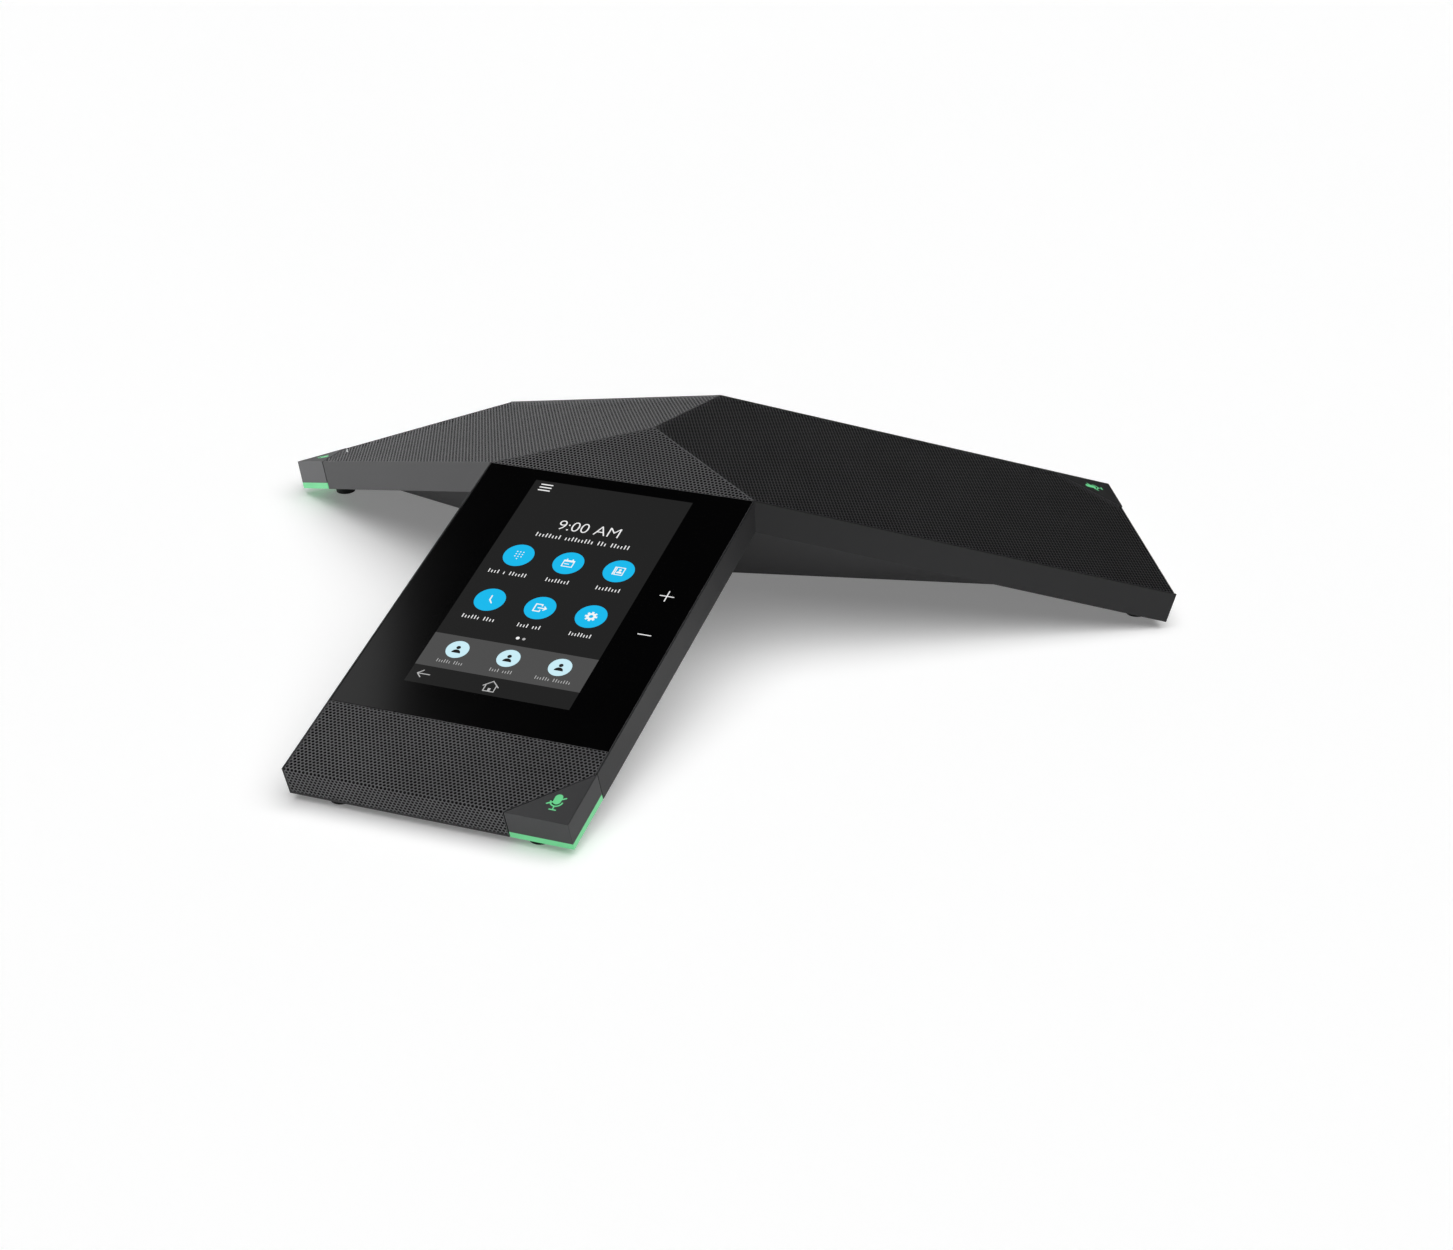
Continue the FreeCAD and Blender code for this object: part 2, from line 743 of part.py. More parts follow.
def connectors():
    """Rear jacks standing on the connector board, each with its socket."""
    made = {}
    sockets = {
        "ethernet_jack": ("ethernet_socket_width", "ethernet_socket_height", "ethernet_socket_depth"),
        "usb_port": ("usb_socket_width", "usb_socket_height", "usb_socket_depth"),
    }
    for name, (span, height, depth) in port_boxes().items():
        z = ("port_board_top", f"port_board_top + {height}")
        block = box("middle_frame", span, (f"bay_reach - {depth}", "bay_reach"), z)
        middle = f"({span[0]} + {span[1]}) / 2"
        if name in sockets:
            width, tall, deep = sockets[name]
            socket = box(
                "middle_frame",
                (f"{middle} - {width} / 2", f"{middle} + {width} / 2"),
                (f"bay_reach - {deep}", "bay_reach + bay_wall"),
                (f"port_board_top + ({height} - {tall}) / 2", f"port_board_top + ({height} + {tall}) / 2"),
            )
        else:
            height_mid = f"port_board_top + {height} / 2"
            socket = lying("middle_frame", "audio_bore_radius", middle, "bay_reach", height_mid, "audio_bore_depth")
        made[name] = cut(block, socket)
    return made


def microphone(frame):
    """Capsule and its rubber boot behind a leg's end wall."""
    half = "mic_boot_side / 2"
    boot = box(
        frame,
        (f"0 - mic_offset - {half}", f"{half} - mic_offset"),
        ("0 - cavity_end", "mic_boot_depth - cavity_end"),
        (f"0 - mic_drop - {half}", f"{half} - mic_drop"),
    )
    spot_of_capsule = ("0 - mic_offset", "mic_length - cavity_end", "0 - mic_drop")
    bore = lying(frame, "mic_radius", *spot_of_capsule, "mic_length")
    return cut(boot, bore), lying(frame, "mic_radius", *spot_of_capsule, "mic_length")


def build_nodes():
    """Every sub-part by its node name."""
    nodes = {"wall_frame": wall_frame(), "bottom_cover": bottom_cover()}
    cover = ("0 - cover_half", "cover_half")
    cloth_depth = ("0 - ledge_depth", "0 - grille_thickness")
    cloth_thickness = "(ledge_depth - grille_thickness)"
    nodes["centre_grille"] = plain_panel(cover, ("0 - root_line", FAR), ("0 - grille_thickness", 0))
    nodes["centre_cloth"] = plain_panel(cover, ("0 - root_line", FAR), cloth_depth)
    nodes["cover_glass"] = plain_panel(cover, ("0 - glass_end", "0 - glass_start"), ("0 - glass_thickness", 0))
    display = (
        ("0 - display_width / 2", "display_width / 2"),
        ("0 - glass_start - display_inset - display_length", "0 - glass_start - display_inset"),
        ("0 - glass_thickness - display_thickness", "0 - glass_thickness"),
    )
    frame_plate = plain_panel(cover, ("0 - glass_end", "0 - glass_start"), ("0 - ledge_depth", "0 - glass_thickness"))
    window = [(f"{low} - cover_gap", f"{high} + cover_gap") for low, high in display]
    nodes["display_frame"] = cut(frame_plate, box("front_frame", *window))
    nodes["lcd_module"] = box("front_frame", *display)
    starts = {"front": "0 - glass_end - cover_gap", "right": FAR, "left": FAR}
    for leg, start in starts.items():
        frame, yaw = leg + "_frame", leg + "_yaw"
        nodes[f"{leg}_grille"] = grille_panel(frame, yaw, start, "0", "grille_thickness", True)
        nodes[f"{leg}_cloth"] = grille_panel(frame, yaw, start, "grille_thickness", cloth_thickness, False)
        nodes[f"mute_key_{leg}"] = mute_key(frame)
        nodes[f"mute_lens_{leg}"] = cylinder(frame, "lens_radius", *key_spot("lens_centre"), ("0 - lens_depth", 0))
        nodes[f"light_strip_{leg}"] = light_strip(frame)
        plunger_z = ("0 - plunger_bottom", "0 - plunger_top")
        nodes[f"mute_plunger_{leg}"] = cylinder(frame, "plunger_radius", *key_spot("key_centre"), plunger_z)
        body = square_block(frame, "switch_side", ("0 - switch_bottom", "0 - switch_top"))
        bore_z = ("0 - plunger_bottom - key_travel - 2 * running_gap", "0 - plunger_top")
        bore = cylinder(frame, "plunger_radius + running_gap", *key_spot("key_centre"), bore_z)
        nodes[f"mute_switch_{leg}"] = cut(body, bore)
        board_z = ("0 - shelf_top", "0 - switch_bottom")
        nodes[f"mute_board_{leg}"] = square_block(frame, "key_board_side", board_z)
        nodes[f"mic_boot_{leg}"], nodes[f"mic_capsule_{leg}"] = microphone(frame)
        nodes[f"feet_{leg}"] = feet(frame, yaw)
    nodes.update(loudspeaker())
    nodes.update(connectors())
    nodes["main_board"] = main_board()
    nodes["processor_shield"] = box(
        "front_frame",
        ("0 - shield_width / 2", "shield_width / 2"),
        ("0 - board_start - board_length / 2 - shield_length / 2", "shield_length / 2 - board_start - board_length / 2"),
        ("0 - board_top", "shield_depth - board_top"),
    )
    nodes["connector_board"] = connector_board()
    nodes["lock_plate"] = lock_plate()
    nodes.update(fasteners())
    return nodes


def main_board():
    """Circuit board on four posts under the display."""
    board = box(
        "front_frame",
        ("0 - board_half_width", "board_half_width"),
        ("0 - board_start - board_length", "0 - board_start"),
        ("0 - board_bottom", "0 - board_top"),
    )
    holes = [
        cylinder("front_frame", "screw_radius + running_gap", x, y, ("0 - side_depth", 0)) for x, y in board_post_spots()
    ]
    return cut(board, *holes)


def connector_board():
    """Circuit board in the rear bay that the jacks stand on."""
    back = "bay_reach - bay_wall - cover_gap"
    board = box(
        "middle_frame",
        ("0 - port_board_half", "port_board_half + port_spacing"),
        (f"{back} - port_board_depth", back),
        ("port_board_bottom", "port_board_top"),
    )
    holes = [
        cylinder("middle_frame", "screw_radius + running_gap", x, y, ("bay_floor", "bay_roof")) for x, y in port_post_spots()
    ]
    return cut(board, *holes)


def lock_plate():
    """Steel plate behind the cable-lock slot."""
    back = "bay_reach - bay_wall"
    middle = "(usb_left + usb_width / 2)"
    half = "(lock_slot_width / 2 + lock_plate_margin)"
    plate = box(
        "middle_frame",
        (f"{middle} - {half}", f"{middle} + {half}"),
        (f"{back} - lock_plate_thickness", back),
        ("lock_height - lock_plate_margin", "lock_height + lock_slot_height + lock_plate_margin"),
    )
    return cut(plate, lock_slot(("0", "2 * bay_reach")))


def fasteners():
    """Screw groups: floor to walls, driver to posts, and both circuit boards."""
    head_bottom = "0 - side_depth"
    head_top = "screw_head - side_depth"
    floor_screws = []
    for leg in LEG_TURNS:
        shaft = (head_top, f"{head_top} + screw_length")
        floor_screws += screws(leg + "_frame", screw_spots(), (head_bottom, head_top), shaft)
    flange_top = "(driver_seat + driver_flange)"
    driver_screws = []
    for leg in LEG_TURNS:
        spots = [("0", "0 - driver_boss_reach")]
        shaft = (f"{flange_top} - screw_length", flange_top)
        driver_screws += screws(leg + "_yaw", spots, (flange_top, f"{flange_top} + screw_head"), shaft)
    main_head = ("0 - board_top", "screw_head - board_top")
    main_shaft = ("0 - board_bottom - board_lift", "0 - board_top")
    board_screws = screws("front_frame", board_post_spots(), main_head, main_shaft)
    port_head = ("port_board_top", "port_board_top + screw_head")
    port_shaft = ("bay_floor + bay_wall", "port_board_top")
    board_screws += screws("middle_frame", port_post_spots(), port_head, port_shaft)
    return {
        "floor_screws": group(floor_screws),
        "driver_screws": group(driver_screws),
        "board_screws": group(board_screws),
    }


def main():
    nodes = build_nodes()
    for name, thing in nodes.items():
        thing.Label = name
    doc.recompute()
    faults = [thing.Name for thing in doc.Objects if {"Invalid", "Error"} & set(thing.State)]
    for name, thing in nodes.items():
        shape = thing.Shape
        if shape.isNull() or not shape.isValid() or not shape.Solids:
            faults.append(name)
    if faults:
        raise RuntimeError("these failed to build: " + ", ".join(faults))
    os.makedirs("parts", exist_ok=True)
    for name, thing in nodes.items():
        Part.makeCompound(thing.Shape.Solids).exportStep(f"parts/{name}.step")
        print(name, len(thing.Shape.Solids), "solids", round(thing.Shape.Volume, 1), "mm3")


main()
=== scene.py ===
import json
import math

import bpy
import numpy as np
from mathutils import Matrix, Vector
from mathutils.geometry import delaunay_2d_cdt


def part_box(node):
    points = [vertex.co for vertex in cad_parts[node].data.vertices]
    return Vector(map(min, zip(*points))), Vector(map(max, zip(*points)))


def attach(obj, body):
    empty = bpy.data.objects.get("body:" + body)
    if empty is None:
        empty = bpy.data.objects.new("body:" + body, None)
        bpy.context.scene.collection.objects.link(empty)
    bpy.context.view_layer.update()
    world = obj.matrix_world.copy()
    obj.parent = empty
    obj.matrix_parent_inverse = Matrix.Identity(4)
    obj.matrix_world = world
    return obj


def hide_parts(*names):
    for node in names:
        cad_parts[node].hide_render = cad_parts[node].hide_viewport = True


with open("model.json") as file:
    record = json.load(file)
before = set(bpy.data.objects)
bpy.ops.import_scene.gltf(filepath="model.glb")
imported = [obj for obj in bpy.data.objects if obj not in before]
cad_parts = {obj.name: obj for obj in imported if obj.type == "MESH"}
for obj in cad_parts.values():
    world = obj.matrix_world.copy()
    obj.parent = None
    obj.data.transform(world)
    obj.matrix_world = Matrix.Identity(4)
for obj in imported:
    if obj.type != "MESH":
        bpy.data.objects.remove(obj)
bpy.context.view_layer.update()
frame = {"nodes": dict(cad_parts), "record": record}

bl_info = {
    "name": "Conference phone looks",
    "version": (1, 0, 0),
    "blender": (4, 5, 0),
    "location": "3D View > Sidebar > Phone",
    "description": "Dresses a three-legged conference phone: grilles, glass, screen, keys and stage",
    "category": "Object",
}

NODES = frame["nodes"]
MM = 0.001
LEG_TURNS = {"front": 0, "right": 120, "left": 240}
HOUSING = "housing"


class PhoneSizes(bpy.types.PropertyGroup):
    """Lengths of the dressed pieces."""

    apex_height: bpy.props.FloatProperty(
        name="Apex height", description="Height of the point where the legs meet",
        default=74.0 * MM, unit="LENGTH")
    tip_height: bpy.props.FloatProperty(
        name="Tip height", description="Height of a leg's top edge at its tip",
        default=14.2 * MM, unit="LENGTH")
    tip_reach: bpy.props.FloatProperty(
        name="Tip reach", description="Plan distance from the middle to a tip",
        default=189.8 * MM, unit="LENGTH")
    leg_half: bpy.props.FloatProperty(
        name="Half leg width", description="Half the width of a leg",
        default=54.0 * MM, unit="LENGTH")
    cover_half: bpy.props.FloatProperty(
        name="Half cover width", description="Half the width of a grille or the glass",
        default=53.25 * MM, unit="LENGTH")
    side_depth: bpy.props.FloatProperty(
        name="Side depth", description="Depth of a leg's walls, square to its top",
        default=11.8 * MM, unit="LENGTH")
    sill: bpy.props.FloatProperty(
        name="Sill", description="Wall left below a grille's end flap",
        default=0.95 * MM, unit="LENGTH")
    tip_grille: bpy.props.FloatProperty(
        name="Tip grille", description="Length of the front leg's grille on its top",
        default=34.35 * MM, unit="LENGTH")
    key_cut: bpy.props.FloatProperty(
        name="Key cut", description="Side of the corner that a mute key takes, with its gap",
        default=24.0 * MM, unit="LENGTH")
    crease_gap: bpy.props.FloatProperty(
        name="Crease gap", description="Half the joint between two grilles",
        default=0.12 * MM, unit="LENGTH")
    hole_pitch: bpy.props.FloatProperty(
        name="Hole pitch", description="Distance between neighbouring grille holes",
        default=1.5 * MM, unit="LENGTH")
    hole_radius: bpy.props.FloatProperty(
        name="Hole radius", description="Radius of a grille hole",
        default=0.573 * MM, unit="LENGTH")
    hole_depth: bpy.props.FloatProperty(
        name="Hole depth", description="Depth of a grille hole's wall",
        default=0.08 * MM, unit="LENGTH")
    rim: bpy.props.FloatProperty(
        name="Rim", description="Least web between a hole and the sheet's edge",
        default=0.08 * MM, unit="LENGTH")
    cut_edge: bpy.props.FloatProperty(
        name="Cut edge", description="Depth shown at a grille's cut edge",
        default=0.35 * MM, unit="LENGTH")
    cloth_gap: bpy.props.FloatProperty(
        name="Cloth gap", description="Room between a grille's end flap and the cloth behind it",
        default=0.375 * MM, unit="LENGTH")
    bend: bpy.props.FloatProperty(
        name="Bend", description="Radius where a grille folds over a leg's end",
        default=1.0 * MM, unit="LENGTH")
    art_lift: bpy.props.FloatProperty(
        name="Art lift", description="Height between layers of the lit screen",
        default=0.03 * MM, unit="LENGTH")


class PhoneColours(bpy.types.PropertyGroup):
    """Colours of the finishes, as linear values."""

    plastic: bpy.props.FloatVectorProperty(
        name="Plastic", description="Charcoal moulded plastic", subtype="COLOR",
        default=(0.036, 0.036, 0.0375))
    paint: bpy.props.FloatVectorProperty(
        name="Grille paint", description="Paint of the perforated skins", subtype="COLOR",
        default=(0.185, 0.185, 0.19))
    glass: bpy.props.FloatVectorProperty(
        name="Glass", description="Black backing of the touch glass", subtype="COLOR",
        default=(0.0015, 0.0015, 0.0017))
    lamp: bpy.props.FloatVectorProperty(
        name="Key light", description="Green of the lit keys", subtype="COLOR",
        default=(0.15, 0.66, 0.28))
    screen: bpy.props.FloatVectorProperty(
        name="Screen", description="Dark ground of the lit screen", subtype="COLOR",
        default=(0.017, 0.017, 0.017))
    band: bpy.props.FloatVectorProperty(
        name="Band", description="Grey band of the lit screen", subtype="COLOR",
        default=(0.075, 0.075, 0.075))
    tile: bpy.props.FloatVectorProperty(
        name="Tile", description="Blue tiles of the lit screen", subtype="COLOR",
        default=(0.012, 0.48, 0.83))
    pale: bpy.props.FloatVectorProperty(
        name="Pale tile", description="Pale tiles of the lit screen", subtype="COLOR",
        default=(0.58, 0.83, 0.91))
    mark: bpy.props.FloatVectorProperty(
        name="Mark", description="White marks of the lit screen", subtype="COLOR",
        default=(0.9, 0.9, 0.9))
    floor: bpy.props.FloatVectorProperty(
        name="Floor", description="Plain pale floor", subtype="COLOR",
        default=(0.9, 0.9, 0.9))


def sizes():
    return bpy.context.scene.phone_sizes


def colours():
    return bpy.context.scene.phone_colours


def slope():
    """Angle of a leg's top to the floor."""
    s = sizes()
    return math.atan((s.apex_height - s.tip_height) / s.tip_reach)


def leg_length():
    """Length of a leg's top from the apex to its tip, along the slope."""
    return sizes().tip_reach / math.cos(slope())


def straight_run():
    """Length of a grille before it folds over a leg's end."""
    return leg_length() - sizes().bend


def fold_run():
    """Length of a grille's fold over a leg's end, on its outside."""
    return sizes().bend * math.pi / 2


def flap_run():
    """Length of a grille's flap below its fold."""
    s = sizes()
    return s.side_depth - s.sill - s.bend


def root_line():
    """How far down the slope two legs' outer edges meet."""
    return sizes().leg_half * math.tan(math.radians(30)) / math.cos(slope())


def apex_shift():
    """How far the apex lies behind the middle of the phone's box."""
    s = sizes()
    far_corner = s.tip_reach * math.cos(math.radians(60)) + s.leg_half * math.sin(math.radians(60))
    return (s.tip_reach - far_corner) / 2


def leg_matrix(leg):
    """A leg's frame: origin at the apex, -Y down the slope, +Z square to the top."""
    turn = Matrix.Rotation(math.radians(LEG_TURNS[leg]), 4, "Z")
    lean = Matrix.Rotation(slope(), 4, "X")
    shift = Matrix.Translation((0, apex_shift(), 0))
    return shift @ turn @ Matrix.Translation((0, 0, sizes().apex_height)) @ lean


class Value:
    """A node's output that Python's operators work on."""

    def __init__(self, finish, socket):
        self.finish = finish
        self.socket = socket

    def _math(self, operation, first, second):
        return self.finish.node("ShaderNodeMath", {"operation": operation}, {0: first, 1: second})

    def __add__(self, other):
        return self._math("ADD", self, other)

    def __radd__(self, other):
        return self._math("ADD", other, self)

    def __sub__(self, other):
        return self._math("SUBTRACT", self, other)

    def __rsub__(self, other):
        return self._math("SUBTRACT", other, self)

    def __mul__(self, other):
        return self._math("MULTIPLY", self, other)

    def __rmul__(self, other):
        return self._math("MULTIPLY", other, self)

    def __gt__(self, other):
        return self._math("GREATER_THAN", self, other)


class Finish:
    """The nodes of one material, or of the world."""

    def __init__(self, name, owner=None):
        self.material = owner or bpy.data.materials.new(name)
        self.material.use_nodes = True
        self.tree = self.material.node_tree
        self.tree.nodes.clear()

    def node(self, kind, settings=None, inputs=None, output=0):
        """A node with its settings set first and then its sockets' values or links."""
        made = self.tree.nodes.new(kind)
        for name, setting in (settings or {}).items():
            if name == "stops":
                self._stops(made.color_ramp, setting)
            else:
                setattr(made, name, setting)
        for key, given in (inputs or {}).items():
            if isinstance(given, Value):
                self.tree.links.new(given.socket, made.inputs[key])
            else:
                made.inputs[key].default_value = given
        return Value(self, made.outputs[output]) if len(made.outputs) else made

    def _stops(self, ramp, stops):
        for spare in list(ramp.elements)[2:]:
            ramp.elements.remove(spare)
        while len(ramp.elements) < len(stops):
            ramp.elements.new(1.0)
        for element, (place, colour) in zip(ramp.elements, stops):
            element.position = place
            element.color = (*colour, 1.0)

    def place(self):
        """Position in the object's own frame, in metres."""
        return self.node("ShaderNodeTexCoord", output="Object")

    def noise(self, scale, detail=3.0):
        inputs = {"Vector": self.place(), "Scale": scale, "Detail": detail}
        return self.node("ShaderNodeTexNoise", None, inputs)

    def shades(self, mask, dark, light):
        """A colour between two, by a mask."""
        return self.node("ShaderNodeValToRGB", {"stops": [(0.25, dark), (0.75, light)]}, {0: mask})

    def bump(self, height, distance, strength, edge=0.0):
        inputs = {"Height": height, "Distance": distance, "Strength": strength}
        if edge:
            inputs["Normal"] = self.node("ShaderNodeBevel", {"samples": 6}, {"Radius": edge})
        return self.node("ShaderNodeBump", None, inputs)

    def surface(self, **inputs):
        """The main shader, by socket names with underscores for spaces."""
        named = {}
        for name, given in inputs.items():
            if isinstance(given, tuple) and len(given) == 3:
                given = (*given, 1.0)
            named[name.replace("_", " ")] = given
        shader = self.node("ShaderNodeBsdfPrincipled", None, named)
        self.node("ShaderNodeOutputMaterial", None, {"Surface": shader})
        return self.material


def scaled(colour, factor):
    return tuple(c * factor for c in colour)


def moulded_plastic(name, colour, grain=2600.0, rough=0.55, edge=0.35 * MM):
    """Fine matt moulded plastic with softened edges."""
    f = Finish(name)
    cloud = f.noise(28.0)
    fine = f.noise(grain, 2.0)
    return f.surface(
        Base_Color=f.shades(cloud, scaled(colour, 0.9), scaled(colour, 1.1)),
        Roughness=rough + (cloud - 0.5) * 0.12 + (fine - 0.5) * 0.1,
        Normal=f.bump(fine, 0.04 * MM, 0.35, edge),
        Specular_IOR_Level=0.3,
    )


def sheet_paint(name, colour):
    """Satin paint on perforated sheet."""
    f = Finish(name)
    cloud = f.noise(35.0)
    fine = f.noise(5200.0, 2.0)
    return f.surface(
        Base_Color=f.shades(cloud, scaled(colour, 0.92), scaled(colour, 1.08)),
        Roughness=0.55 + (cloud - 0.5) * 0.1 + (fine - 0.5) * 0.08,
        Normal=f.bump(fine, 0.02 * MM, 0.3),
        Specular_IOR_Level=0.06,
    )


def acoustic_cloth(name):
    """Black woven cloth seen through the holes."""
    f = Finish(name)
    weave = f.node("ShaderNodeTexVoronoi", None, {"Vector": f.place(), "Scale": 2400.0})
    return f.surface(
        Base_Color=f.shades(weave, (0.003, 0.003, 0.003), (0.008, 0.008, 0.008)),
        Roughness=0.95,
        Normal=f.bump(weave, 0.1 * MM, 0.5),
        Specular_IOR_Level=0.1,
    )


def touch_glass(name, colour):
    """Black-backed polished glass with faint wipe marks."""
    f = Finish(name)
    smear = f.noise(14.0, 4.0)
    dust = f.noise(900.0, 2.0)
    return f.surface(
        Base_Color=f.shades(smear, scaled(colour, 0.8), scaled(colour, 1.2)),
        Roughness=0.08 + smear * 0.06 + (dust > 0.72) * 0.05,
        Normal=f.bump(smear, 0.02 * MM, 0.05, 0.2 * MM),
        IOR=1.5,
        Specular_IOR_Level=0.4,
    )


def lit_print(name, colour, strength):
    """Lit pixels: their own light, with the gloss of glass over it."""
    f = Finish(name)
    grain = f.noise(6000.0, 1.0)
    return f.surface(
        Base_Color=f.shades(grain, scaled(colour, 0.03), scaled(colour, 0.05)),
        Roughness=0.08,
        Emission_Color=f.shades(grain, scaled(colour, 0.96), scaled(colour, 1.04)),
        Emission_Strength=strength,
        Specular_IOR_Level=0.4,
    )


def light_guide(name, colour, strength):
    """Frosted guide that glows a little unevenly along its length."""
    f = Finish(name)
    spread = f.noise(90.0, 2.0)
    fine = f.noise(3000.0, 2.0)
    return f.surface(
        Base_Color=f.shades(spread, scaled(colour, 0.1), scaled(colour, 0.14)),
        Roughness=0.4 + (fine - 0.5) * 0.15,
        Emission_Color=f.shades(spread, scaled(colour, 0.9), scaled(colour, 1.06)),
        Emission_Strength=strength,
        Normal=f.bump(fine, 0.03 * MM, 0.25, 0.2 * MM),
    )


def soft_rubber(name):
    """Dull black rubber with a dusty grain."""
    f = Finish(name)
    grain = f.noise(1500.0, 3.0)
    return f.surface(
        Base_Color=f.shades(grain, (0.009, 0.009, 0.009), (0.02, 0.02, 0.021)),
        Roughness=0.8 + (grain - 0.5) * 0.2,
        Normal=f.bump(grain, 0.08 * MM, 0.5, 0.3 * MM),
    )


def bright_metal(name, colour, rough):
    """Plated or bare metal with fine drawn lines."""
    f = Finish(name)
    stretched = f.node("ShaderNodeMapping", None, {"Vector": f.place(), "Scale": (300.0, 300.0, 6000.0)})
    lines = f.node("ShaderNodeTexNoise", None, {"Vector": stretched, "Scale": 1.0, "Detail": 3.0})
    return f.surface(
        Base_Color=f.shades(lines, scaled(colour, 0.85), colour),
        Roughness=rough + (lines - 0.5) * 0.2,
        Metallic=1.0,
        Normal=f.bump(lines, 0.02 * MM, 0.2, 0.15 * MM),
    )


def circuit_resist(name):
    """Green resist over copper tracks."""
    f = Finish(name)
    black, white = (0, 0, 0, 1), (1, 1, 1, 1)
    inputs = {"Vector": f.place(), "Scale": 120.0, "Mortar Size": 0.06}
    inputs.update({"Color1": black, "Color2": black, "Mortar": white})
    tracks = f.node("ShaderNodeTexBrick", {"offset": 0.5}, inputs, output="Fac")
    return f.surface(
        Base_Color=f.shades(tracks, (0.008, 0.06, 0.028), (0.02, 0.12, 0.05)),
        Roughness=0.35 + tracks * 0.1,
        Normal=f.bump(tracks, 0.05 * MM, 0.4),
    )


def link(obj):
    bpy.context.scene.collection.objects.link(obj)
    return obj


def mesh_piece(name, points, faces, material):
    """A mesh object from points in metres in the shared frame."""
    mesh = bpy.data.meshes.new(name)
    mesh.from_pydata([tuple(p) for p in points], [], faces)
    mesh.validate()
    mesh.materials.append(material)
    return link(bpy.data.objects.new(name, mesh))


BOX_FACES = ((3, 2, 1, 0), (4, 5, 6, 7), (0, 1, 5, 4), (1, 2, 6, 5), (2, 3, 7, 6), (3, 0, 4, 7))


def box_corners(across, along, up):
    """Eight corners of a box, the low four first."""
    corners = ((0, 0), (1, 0), (1, 1), (0, 1))
    return [Vector((across[i], along[j], z)) for z in up for i, j in corners]


def edge_gap(points, outline):
    """How far points lie from a closed outline's edges, less than zero outside it."""
    x, y = points[:, 0], points[:, 1]
    odd = np.zeros(len(points), bool)
    gap = np.full(len(points), np.inf)
    for (ax, ay), (bx, by) in zip(outline, outline[1:] + outline[:1]):
        crosses = (ay > y) != (by > y)
        rise = by - ay if by != ay else 1.0
        odd ^= crosses & (x < ax + (bx - ax) * (y - ay) / rise)
        dx, dy = bx - ax, by - ay
        along = np.clip(((x - ax) * dx + (y - ay) * dy) / (dx * dx + dy * dy), 0, 1)
        gap = np.minimum(gap, np.hypot(x - ax - along * dx, y - ay - along * dy))
    return np.where(odd, gap, -gap)


def divided(outline, step):
    """An outline with points added along its edges."""
    points = []
    for (ax, ay), (bx, by) in zip(outline, outline[1:] + outline[:1]):
        count = max(1, math.ceil(math.hypot(bx - ax, by - ay) / step))
        points += [(ax + (bx - ax) * i / count, ay + (by - ay) * i / count) for i in range(count)]
    return points


# Sides of a hole's rim on a sheet that is seen close up, and on the others.
CLOSE_SIDES = 12
FAR_SIDES = 9


